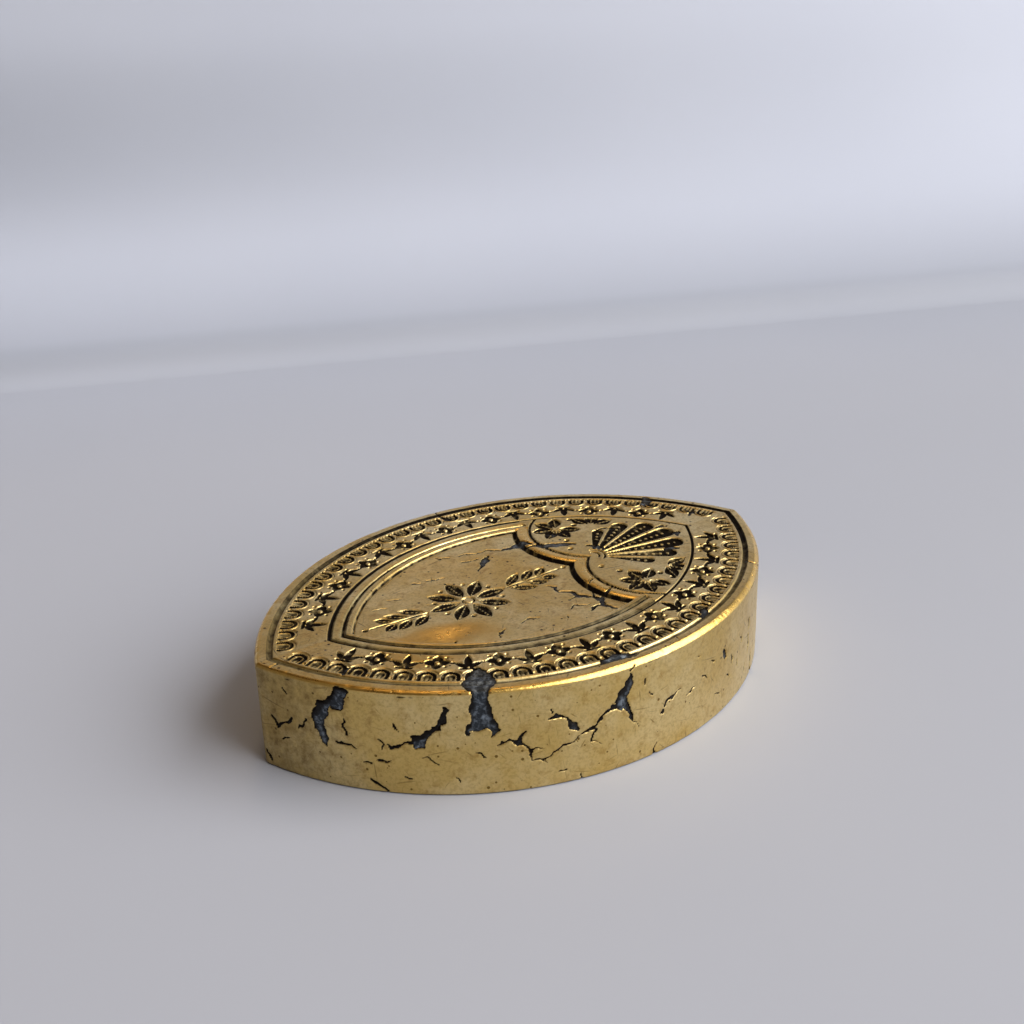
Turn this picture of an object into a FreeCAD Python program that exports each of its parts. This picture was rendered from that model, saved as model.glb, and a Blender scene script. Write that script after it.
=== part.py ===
import FreeCAD, Part
import math
import os

# Pointed-oval seal matrix: an engraved gilt skin over a dark metal body.
# The origin is at the middle of the flat underside, +X runs along the long
# axis to the head of the design, +Z is up. All sizes are millimetres.

# Blank
LENGTH = 78.0             # tip to tip
WIDTH = 54.3              # across the middle
HEIGHT = 14.3
EDGE_ROUND = 0.7          # rounding of the outer top edge
SKIN = 0.45               # thickness of the gilt skin, on wall and face
SKIN_LEFT = 0.15          # skin left under the engraving
BODY_LEDGE = 0.4          # how far the body's pocket reaches under the frame

# Rings that follow the outline, from the edge inwards
RIM_WIDTH = 1.6
RIM_GROOVE_WIDTH = 0.75
BORDER_LINE_WIDTH = 0.3   # thin raised line between the rim groove and the arcade
ARCADE_WIDTH = 2.25
LEGEND_WIDTH = 3.9        # plain band for the engraved running ornament
FRAME_GROOVE_WIDTH = 0.6
FRAME_BEAD_WIDTH = 1.3    # outer half-round of the frame
FINE_GROOVE_WIDTH = 0.4
FIELD_BEAD_WIDTH = 1.1    # inner half-round, which falls to the field
GROOVE_SLOPE = 0.12       # sideways lean of a groove's walls
BEAD_SHOULDER = 0.12      # fall from a bead's crest to its shoulder
BEAD_CREST = 0.03         # how far the frame's crests lie below the face
LOBE_CREST = 0.07         # the lobes' bead is lower, so it runs into the frame's flank

# Arcade: one arch is a U-shaped cut, open towards the rim
ARCH_PITCH = 2.83         # along the middle of the arcade
ARCH_OUTER_RADIUS = 1.15
ARCH_CUT_WIDTH = 0.5
ARCH_SIDES = 4            # straight sides of the closed end

# Field: a dished pocket with a two-lobed head
FIELD_DEPTH = 0.4
DISH_MARGIN = 0.5         # flat left round the dish at its sides
DISH_DEPTH = 0.35
HEAD_LENGTH = 30.4        # from the head tip to the point between the two lobes
LOBE_RADIUS = 11.6
LOBE_OFFSET = 7.15        # distance of a lobe's centre from the long axis
LOBE_BEAD_WIDTH = 1.8
HEAD_GROOVE_WIDTH = 0.5
FRAME_END = 1.7           # the frame's beads stop this far above the point

# Engraved motifs, all of almond-shaped petals
ROSETTE_PETALS = 8
ROSETTE_HUB = 1.1         # the petals start this far from the middle
ROSETTE_LENGTH = 4.6
ROSETTE_WIDTH = 1.75
SPRIG_GAP = 7.0           # from the rosette's middle to the first pair of leaves
SPRIG_MARGIN = 4.4        # from the last pair to the end of the field
SPRIG_PITCH = 1.85
SPRIG_HALF_WIDTH = 1.6    # the leaves start this far from the long axis
SPRIG_LENGTH = 3.3
SPRIG_WIDTH = 1.15
SPRIG_ANGLE = 38.0        # lean of the leaves from the long axis
SPRIG_LAST = 1.85         # length of the last leaf
FAN_GAP = 4.0             # from the point between the lobes to the fan's middle
FAN_FLUTES = 7
FAN_ANGLE = 118.0         # between the outermost flutes
FAN_HUB = 2.3
FAN_LENGTH = 10.2
FAN_SIDE_LENGTH = 6.3     # the outermost flutes are shorter
FAN_WIDTH = 2.1
TUFT_PETALS = 4           # leaf tufts on both sides of the fan, two a side
TUFT_ANGLE = 126.0        # between a tuft's outermost leaves
TUFT_HUB = 0.8
TUFT_LENGTH = 2.7
TUFT_WIDTH = 1.15
LOW_TUFT_GAP = 5.7        # past the point between the lobes
LOW_TUFT_SIDE = 10.6      # off the long axis
LOW_TUFT_TURN = 205.0
HIGH_TUFT_GAP = 8.4
HIGH_TUFT_SIDE = 9.6
HIGH_TUFT_TURN = 330.0

# Rounded sections are turned as a few flats
EDGE_FLATS = 3
BEAD_FLATS = 3
DISH_FLATS = 3
PETAL_FLATS = 4

# Derived depths, and offsets of the rings from the outer edge
CUT_DEPTH = SKIN - SKIN_LEFT
ARCADE_AT = RIM_WIDTH + RIM_GROOVE_WIDTH + BORDER_LINE_WIDTH
FRAME_AT = ARCADE_AT + ARCADE_WIDTH + LEGEND_WIDTH
FRAME_BEAD_AT = FRAME_AT + FRAME_GROOVE_WIDTH
FINE_GROOVE_AT = FRAME_BEAD_AT + FRAME_BEAD_WIDTH
FIELD_BEAD_AT = FINE_GROOVE_AT + FINE_GROOVE_WIDTH
FIELD_AT = FIELD_BEAD_AT + FIELD_BEAD_WIDTH

# The outline is two equal arcs that cross at the tips
HALF_LENGTH = LENGTH / 2
HALF_WIDTH = WIDTH / 2
ARC_RADIUS = (HALF_LENGTH ** 2 + HALF_WIDTH ** 2) / (2 * HALF_WIDTH)
ARC_OFFSET = ARC_RADIUS - HALF_WIDTH      # arc centres lie this far off the long axis
ARC_SWEEP = 2 * math.degrees(math.asin(HALF_LENGTH / ARC_RADIUS))

# The two lobes, and the inner radius of their bead
CUSP_X = HALF_LENGTH - HEAD_LENGTH
LOBE_X = CUSP_X + math.sqrt(LOBE_RADIUS ** 2 - LOBE_OFFSET ** 2)
LOBE_INNER = LOBE_RADIUS - LOBE_BEAD_WIDTH
FRAME_END_X = CUSP_X + FRAME_END

# The dish lies midway between the field's tip and the point between the lobes
FIELD_RADIUS = ARC_RADIUS - FIELD_AT
HALF_FIELD = (CUSP_X + math.sqrt(FIELD_RADIUS ** 2 - ARC_OFFSET ** 2)) / 2
DISH_X = CUSP_X - HALF_FIELD
DISH_RADIUS = math.sqrt(FIELD_RADIUS ** 2 - DISH_X ** 2) - ARC_OFFSET - DISH_MARGIN

REACH = LENGTH + WIDTH                    # larger than the whole piece
CLEAR = 1.0                               # how far cutters stand above the face
SWEEP_SPARE = 8.0                         # degrees that a ring runs past the tips
UP = FreeCAD.Vector(0, 0, 1)


def point(x, y, z=0.0):
    return FreeCAD.Vector(x, y, z)


def half_space(x_min, x_max, y_min, y_max, z_min=-REACH, z_max=REACH):
    """A box large enough to act as a cutting region."""
    return Part.makeBox(x_max - x_min, y_max - y_min, z_max - z_min, point(x_min, y_min, z_min))


def mirrored(shape):
    """The shape and its reflection across the long axis, as one."""
    twin = shape.mirror(point(0, 0), point(0, 1, 0))
    return shape.fuse(twin).removeSplitter()


def section_face(path):
    """A face in the XZ plane from (x, z) points."""
    return Part.Face(Part.makePolygon([point(x, 0, z) for x, z in path + path[:1]]))


def hump(start, top, end, flats):
    """Points over a rounded bead, from its start over its top to its end, each (offset, height)."""
    points = []
    for index in range(flats + 1):
        turn = math.pi * index / flats
        foot = start if turn < math.pi / 2 else end
        points.append((
            top[0] - abs(math.cos(turn)) * (top[0] - foot[0]),
            foot[1] + math.sin(turn) * (top[1] - foot[1]),
        ))
    return points


def outline_ring(path, edge_inset=0.0):
    """Carry a section, given as (offset from the edge, height), along both arcs, mitred at the tips."""
    face = section_face([(ARC_RADIUS - edge_inset - offset, height) for offset, height in path])
    face.rotate(point(0, 0), UP, -90 - ARC_SWEEP / 2 - SWEEP_SPARE)
    face.translate(point(0, ARC_OFFSET))
    ring = face.revolve(point(0, ARC_OFFSET), UP, ARC_SWEEP + 2 * SWEEP_SPARE)
    return mirrored(ring.common(half_space(-REACH, REACH, -REACH, 0)))


def groove_path(start, width):
    """Flat-bottomed groove with leaning walls, open at the face."""
    return [
        (start, HEIGHT + CLEAR),
        (start, HEIGHT),
        (start + GROOVE_SLOPE, HEIGHT - CUT_DEPTH),
        (start + width - GROOVE_SLOPE, HEIGHT - CUT_DEPTH),
        (start + width, HEIGHT),
        (start + width, HEIGHT + CLEAR),
    ]


def blank(inset, height, edge_round=0.0):
    """Solid pointed oval; inset moves the wall inwards."""
    past_axis = ARC_RADIUS - inset - ARC_OFFSET + CLEAR
    path = [(past_axis, height), (past_axis, 0), (0, 0)]
    if edge_round > 0:
        for index in range(EDGE_FLATS + 1):
            turn = math.pi / 2 * index / EDGE_FLATS
            path.append((
                edge_round * (1 - math.cos(turn)),
                height - edge_round * (1 - math.sin(turn)),
            ))
    else:
        path.append((0, height))
    return outline_ring(path, inset)


def lobe_ring(path):
    """Carry a section, given as (radius, height), round one lobe's centre, kept to its own half."""
    face = section_face(path)
    face.translate(point(LOBE_X, -LOBE_OFFSET))
    ring = face.revolve(point(LOBE_X, -LOBE_OFFSET), UP, 360)
    return mirrored(ring.common(half_space(-REACH, LOBE_X, -REACH, 0)))


def shield_prism(lobe_radius, end_x, bottom):
    """Everything on the tip side of the lobes, from the given height upwards."""
    reach_y = math.sqrt(max(lobe_radius ** 2 - (LOBE_X - end_x) ** 2, 0.0))
    corner = LOBE_OFFSET + reach_y
    cusp = LOBE_X - math.sqrt(lobe_radius ** 2 - LOBE_OFFSET ** 2)
    edges = []
    for side in (-1, 1):
        arc = Part.Arc(
            point(end_x, side * corner),
            point(LOBE_X - lobe_radius, side * LOBE_OFFSET),
            point(cusp, 0),
        )
        edges += [
            Part.makeLine(point(-REACH, side * REACH), point(end_x, side * REACH)),
            Part.makeLine(point(end_x, side * REACH), point(end_x, side * corner)),
            arc.toShape(),
        ]
    edges.append(Part.makeLine(point(-REACH, -REACH), point(-REACH, REACH)))
    wire = Part.Wire(Part.__sortEdges__(edges))
    wire.translate(UP * bottom)
    return Part.Face(wire).extrude(UP * REACH)


def pocket(floor, ledge):
    """The field's outline, widened by the ledge, from the given floor upwards."""
    outline = blank(FIELD_AT - ledge, REACH)
    return outline.common(shield_prism(LOBE_RADIUS - ledge, FRAME_END_X, floor))


def dish(floor):
    """Shallow round hollow in the field's floor."""
    path = [(0, floor + CLEAR)]
    for index in range(DISH_FLATS + 1):
        share = index / DISH_FLATS
        path.append((DISH_RADIUS * share, floor - DISH_DEPTH * (1 - share ** 2)))
    path.append((DISH_RADIUS, floor + CLEAR))
    face = section_face(path)
    face.translate(point(DISH_X, 0))
    bowl = face.revolve(point(DISH_X, 0), UP, 360)
    return bowl.common(pocket(floor - 2 * DISH_DEPTH, 0))


def frame_and_field():
    """The frame's beads and the field, as the metal that is cut away."""
    crest = HEIGHT - BEAD_CREST
    shoulder = crest - BEAD_SHOULDER
    groove = HEIGHT - CUT_DEPTH
    floor = HEIGHT - FIELD_DEPTH
    path = [(FRAME_BEAD_AT - GROOVE_SLOPE, HEIGHT + CLEAR), (FRAME_BEAD_AT - GROOVE_SLOPE, shoulder)]
    path += hump(
        (FRAME_BEAD_AT, shoulder),
        (FRAME_BEAD_AT + FRAME_BEAD_WIDTH / 2, crest),
        (FINE_GROOVE_AT, shoulder),
        BEAD_FLATS,
    )
    path += [(FINE_GROOVE_AT + GROOVE_SLOPE, groove), (FIELD_BEAD_AT - GROOVE_SLOPE, groove)]
    path += hump(
        (FIELD_BEAD_AT, shoulder),
        (FIELD_BEAD_AT + FIELD_BEAD_WIDTH / 2, crest),
        (FIELD_AT, floor),
        BEAD_FLATS,
    )
    past_axis = ARC_RADIUS - ARC_OFFSET + CLEAR
    path += [(past_axis, floor), (past_axis, HEIGHT + CLEAR)]
    cut = outline_ring(path).common(shield_prism(LOBE_INNER, FRAME_END_X, 0))
    return cut.cut(lobe_beads())


def lobe_beads():
    """The raised half-round along the two-lobed head of the field."""
    crest = HEIGHT - LOBE_CREST
    shoulder = crest - BEAD_SHOULDER
    path = [(LOBE_RADIUS, 0), (LOBE_INNER - CLEAR, 0), (LOBE_INNER - CLEAR, shoulder)]
    path += hump(
        (LOBE_INNER, shoulder),
        (LOBE_INNER + LOBE_BEAD_WIDTH / 2, crest),
        (LOBE_RADIUS, HEIGHT - FIELD_DEPTH),
        BEAD_FLATS,
    )
    return lobe_ring(path).common(blank(FIELD_BEAD_AT + FIELD_BEAD_WIDTH / 2, HEIGHT + CLEAR))


def head_groove():
    """Fine groove behind the lobes' bead, which its outer wall rises to."""
    start = LOBE_INNER - HEAD_GROOVE_WIDTH
    path = [
        (start, HEIGHT + CLEAR),
        (start, HEIGHT),
        (start + GROOVE_SLOPE, HEIGHT - CUT_DEPTH),
        (LOBE_INNER - GROOVE_SLOPE, HEIGHT - CUT_DEPTH),
        (LOBE_INNER, HEIGHT - LOBE_CREST - BEAD_SHOULDER),
        (LOBE_INNER, HEIGHT + CLEAR),
    ]
    return lobe_ring(path).common(blank(FRAME_BEAD_AT, HEIGHT + CLEAR))


def arch():
    """One U-shaped cut, drawn across the short axis, with its closed end inwards."""
    start = ARC_RADIUS - ARCADE_AT
    turn = start - ARCADE_WIDTH + ARCH_OUTER_RADIUS
    inner = ARCH_OUTER_RADIUS - ARCH_CUT_WIDTH
    legs = []
    for radius, reverse in ((ARCH_OUTER_RADIUS, False), (inner, True)):
        leg = [(-radius, start)]
        for index in range(ARCH_SIDES + 1):
            turned = math.pi * index / ARCH_SIDES
            leg.append((-radius * math.cos(turned), turn - radius * math.sin(turned)))
        leg.append((radius, start))
        legs += leg[::-1] if reverse else leg
    corners = [point(x, -y, HEIGHT - CUT_DEPTH) for x, y in legs + legs[:1]]
    return Part.Face(Part.makePolygon(corners)).extrude(UP * (CUT_DEPTH + CLEAR))


def arcade():
    """Arches side by side along both arcs, as many as fit between the tips."""
    middle = ARC_RADIUS - ARCADE_AT - ARCADE_WIDTH / 2
    step = math.degrees(ARCH_PITCH / middle)
    inner_end = ARC_RADIUS - ARCADE_AT - ARCADE_WIDTH
    usable = math.degrees(math.acos(ARC_OFFSET / inner_end)) - step / 2
    count = int(usable / step)
    one = arch()
    cuts = []
    for index in range(-count, count + 1):
        cut = one.copy()
        cut.rotate(point(0, 0), UP, index * step)
        cut.translate(point(0, ARC_OFFSET))
        cuts.append(cut)
        cuts.append(cut.mirror(point(0, 0), point(0, 1, 0)))
    return cuts


def petal(x, y, angle, length, width, floor):
    """Almond-shaped cut that starts at (x, y) and points along the angle."""
    shares = [index / PETAL_FLATS for index in range(PETAL_FLATS + 1)]
    side = [(length * share, width / 2 * math.sin(math.pi * share)) for share in shares]
    outline = side + [(along, -across) for along, across in side[-2:0:-1]]
    almond = Part.Face(Part.makePolygon([point(*corner) for corner in outline + outline[:1]]))
    almond.rotate(point(0, 0), UP, angle)
    almond.translate(point(x, y, floor - CUT_DEPTH))
    return almond.extrude(UP * (CUT_DEPTH + FIELD_DEPTH + CLEAR))


def petals_round(x, y, hub, angles, length, side_length, width, floor):
    """Petals that radiate from (x, y); their length falls from the middle one to the outermost."""
    half = (len(angles) - 1) / 2
    cuts = []
    for index, angle in enumerate(angles):
        turn = math.radians(angle)
        share = ((index - half) / half) ** 2
        cuts.append(petal(
            x + hub * math.cos(turn), y + hub * math.sin(turn), angle,
            length + (side_length - length) * share, width, floor,
        ))
    return cuts


def spread(middle, whole, count):
    """Evenly spaced angles about a middle one."""
    return [middle + whole * (index / (count - 1) - 0.5) for index in range(count)]


def dish_floor(x, y):
    """Height of the dished field under a point."""
    share = ((x - DISH_X) ** 2 + y ** 2) / DISH_RADIUS ** 2
    return HEIGHT - FIELD_DEPTH - DISH_DEPTH * max(0.0, 1 - share)


def rosette():
    """Ring of equal petals in the middle of the dish."""
    turns = spread(0, 360 - 360 / ROSETTE_PETALS, ROSETTE_PETALS)
    return petals_round(
        DISH_X, 0, ROSETTE_HUB, turns, ROSETTE_LENGTH, ROSETTE_LENGTH, ROSETTE_WIDTH,
        dish_floor(DISH_X, 0),
    )


def sprigs():
    """Pairs of leaves from the rosette towards both ends of the field, shorter as they go."""
    last = int((HALF_FIELD - SPRIG_GAP - SPRIG_MARGIN) / SPRIG_PITCH)
    cuts = []
    for index in range(last + 1):
        away = SPRIG_GAP + index * SPRIG_PITCH
        length = SPRIG_LENGTH + (SPRIG_LAST - SPRIG_LENGTH) * index / max(last, 1)
        for end in (-1, 1):
            x = DISH_X + end * away
            floor = dish_floor(x, SPRIG_HALF_WIDTH)
            for side in (-1, 1):
                angle = side * (90 - end * (90 - SPRIG_ANGLE))
                cuts.append(petal(x, side * SPRIG_HALF_WIDTH, angle, length, SPRIG_WIDTH, floor))
    return cuts


def head_motifs():
    """Fluted fan above the lobes, and two leaf tufts on either side of it."""
    flutes = spread(0, FAN_ANGLE, FAN_FLUTES)
    cuts = petals_round(
        CUSP_X + FAN_GAP, 0, FAN_HUB, flutes, FAN_LENGTH, FAN_SIDE_LENGTH, FAN_WIDTH, HEIGHT,
    )
    for gap, across, turn in (
        (LOW_TUFT_GAP, LOW_TUFT_SIDE, LOW_TUFT_TURN),
        (HIGH_TUFT_GAP, HIGH_TUFT_SIDE, HIGH_TUFT_TURN),
    ):
        for side in (-1, 1):
            cuts += petals_round(
                CUSP_X + gap, side * across, TUFT_HUB, spread(side * turn, TUFT_ANGLE, TUFT_PETALS),
                TUFT_LENGTH, TUFT_LENGTH, TUFT_WIDTH, HEIGHT,
            )
    return cuts


def dark_body():
    """The solid metal body, with a flat pocket that leaves the skin room under the dish."""
    floor = HEIGHT - FIELD_DEPTH - DISH_DEPTH - SKIN
    return blank(SKIN, HEIGHT - SKIN).cut(pocket(floor, BODY_LEDGE)).removeSplitter()


def gilt_skin(body):
    """The engraved skin over the wall and the face, open underneath."""
    whole = blank(0, HEIGHT, EDGE_ROUND)
    cuts = [
        outline_ring(groove_path(RIM_WIDTH, RIM_GROOVE_WIDTH)),
        outline_ring(groove_path(FRAME_AT, FRAME_GROOVE_WIDTH)),
        frame_and_field(),
        head_groove(),
        dish(HEIGHT - FIELD_DEPTH),
    ]
    cuts += arcade() + rosette() + sprigs() + head_motifs()
    return whole.cut(cuts).cut(body).removeSplitter()


def export(name, shape):
    solids = shape.Solids
    solid = solids[0] if len(solids) == 1 else Part.makeCompound(solids)
    solid.exportStep(os.path.join("parts", name + ".step"))
    print(name, len(solids), "solid(s)", round(solid.Volume, 1), "mm3", solid.isValid())


os.makedirs("parts", exist_ok=True)
dark_core = dark_body()
gilt_shell = gilt_skin(dark_core)
export("dark_core", dark_core)
export("gilt_shell", gilt_shell)
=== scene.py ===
import math

import bmesh
import bpy
import numpy as np
from mathutils import Matrix, Vector


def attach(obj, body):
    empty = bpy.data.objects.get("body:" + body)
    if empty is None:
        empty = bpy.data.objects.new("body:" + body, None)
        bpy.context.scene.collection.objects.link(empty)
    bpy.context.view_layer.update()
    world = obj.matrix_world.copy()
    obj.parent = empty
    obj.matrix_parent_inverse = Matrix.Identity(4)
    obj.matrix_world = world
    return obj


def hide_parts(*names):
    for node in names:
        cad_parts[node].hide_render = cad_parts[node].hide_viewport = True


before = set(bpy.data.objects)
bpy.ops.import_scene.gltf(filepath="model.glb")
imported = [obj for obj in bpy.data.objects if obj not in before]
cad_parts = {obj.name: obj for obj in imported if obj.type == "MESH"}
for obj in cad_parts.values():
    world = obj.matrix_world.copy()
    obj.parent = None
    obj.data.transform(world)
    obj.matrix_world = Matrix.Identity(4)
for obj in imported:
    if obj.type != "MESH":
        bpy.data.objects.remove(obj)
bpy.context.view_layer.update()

# A pointed-oval seal matrix: an engraved gilt skin over a dark metal body. The solids give the
# size and the main forms. Here the skin is carved finely, cracked and flaked off in places,
# and the dark metal shows in the gaps. Lengths are in millimetres until a mesh is made.
MM = 0.001

# Blank and skin
LENGTH = 78.0
WIDTH = 54.3
HEIGHT = 14.3
EDGE_ROUND = 0.7          # reach of the worn rounding along the edge
EDGE_SHARP = 0.4          # the same towards the tip at -X, which is less worn
EDGE_FLAT = 1.45          # 1 is a round edge, 2 a straight bevel
TIP_ROUND = 2.0           # radius of the upright corners at the two tips
FOOT_ROUND = 0.35
SKIN = 0.45
CUT = 0.3                 # depth of the engraving
SLOPE = 0.12              # sideways lean of a groove's walls

# Rings, as offsets from the outer edge; where two numbers stand, the second is the width
RIM_GROOVE = (1.6, 0.75)
ARCADE_AT = 2.7
ARCADE_WIDTH = 2.2
ORNAMENT_MIDDLE = 7.1
FRAME_GROOVE = (8.95, 0.5)
FRAME_BEAD = (9.4, 1.3)
FINE_GROOVE = (10.7, 0.4)
FIELD_BEAD = (11.1, 1.1)
FIELD_AT = 12.2
BEAD_CREST = 0.03         # below the rim
BEAD_SHOULDER = 0.18      # below the crest

# Arcade and running ornament
ARCH_PITCH = 2.83
ARCH_RADIUS = 1.2
ARCH_CUT = 0.55
ARCADE_END = 5.6
ORNAMENT_PITCH = 3.75
ORNAMENT_REACH = 1.8

# Field and its two-lobed head
FIELD_DEPTH = 0.4
DISH_DEPTH = 0.35
DISH_RADIUS = 13.3
HEAD_LENGTH = 30.4
LOBE_RADIUS = 11.6
LOBE_OFFSET = 7.15
LOBE_BEAD = 1.8
LOBE_CREST = 0.03
HEAD_GROOVE = 0.5         # behind the lobes' bead
LOBE_GROOVE = 0.6         # at the foot of the lobes' bead
FINE_DEPTH = 0.2          # of the groove between the frame's beads
HEAD_DEPTH = 0.255
LOBE_DEPTH = 0.28
CREASE_DEPTH = 0.12       # where the field meets its frame
DEEPER = 1.15             # depth of the ornament, as a share of CUT
# Worn hollow in the field: x, y, half length, half width, depth
SCOOP = (-17.6, -8.6, 8.0, 5.2, 0.54)
FRAME_END = 1.7           # past the point between the lobes
FAN_SPREAD = 96.0         # degrees between the outer flutes of the fan in the head

ARC_RADIUS = (LENGTH ** 2 + WIDTH ** 2) / (4 * WIDTH)
ARC_OFFSET = ARC_RADIUS - WIDTH / 2
CUSP_X = LENGTH / 2 - HEAD_LENGTH
LOBE_X = CUSP_X + math.sqrt(LOBE_RADIUS ** 2 - LOBE_OFFSET ** 2)
LOBE_INNER = LOBE_RADIUS - LOBE_BEAD
FRAME_END_X = CUSP_X + FRAME_END
FIELD_TIP = math.sqrt((ARC_RADIUS - FIELD_AT) ** 2 - ARC_OFFSET ** 2)
DISH_X = (CUSP_X - FIELD_TIP) / 2

# Where one sheet of the skin ends and the next begins, in the shadow of a groove
WALL_TO_BORDER = RIM_GROOVE[0] + SLOPE
BORDER_TO_FRAME = FRAME_BEAD[0] - SLOPE
FRAME_TO_FIELD = FIELD_AT + 0.05

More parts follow.
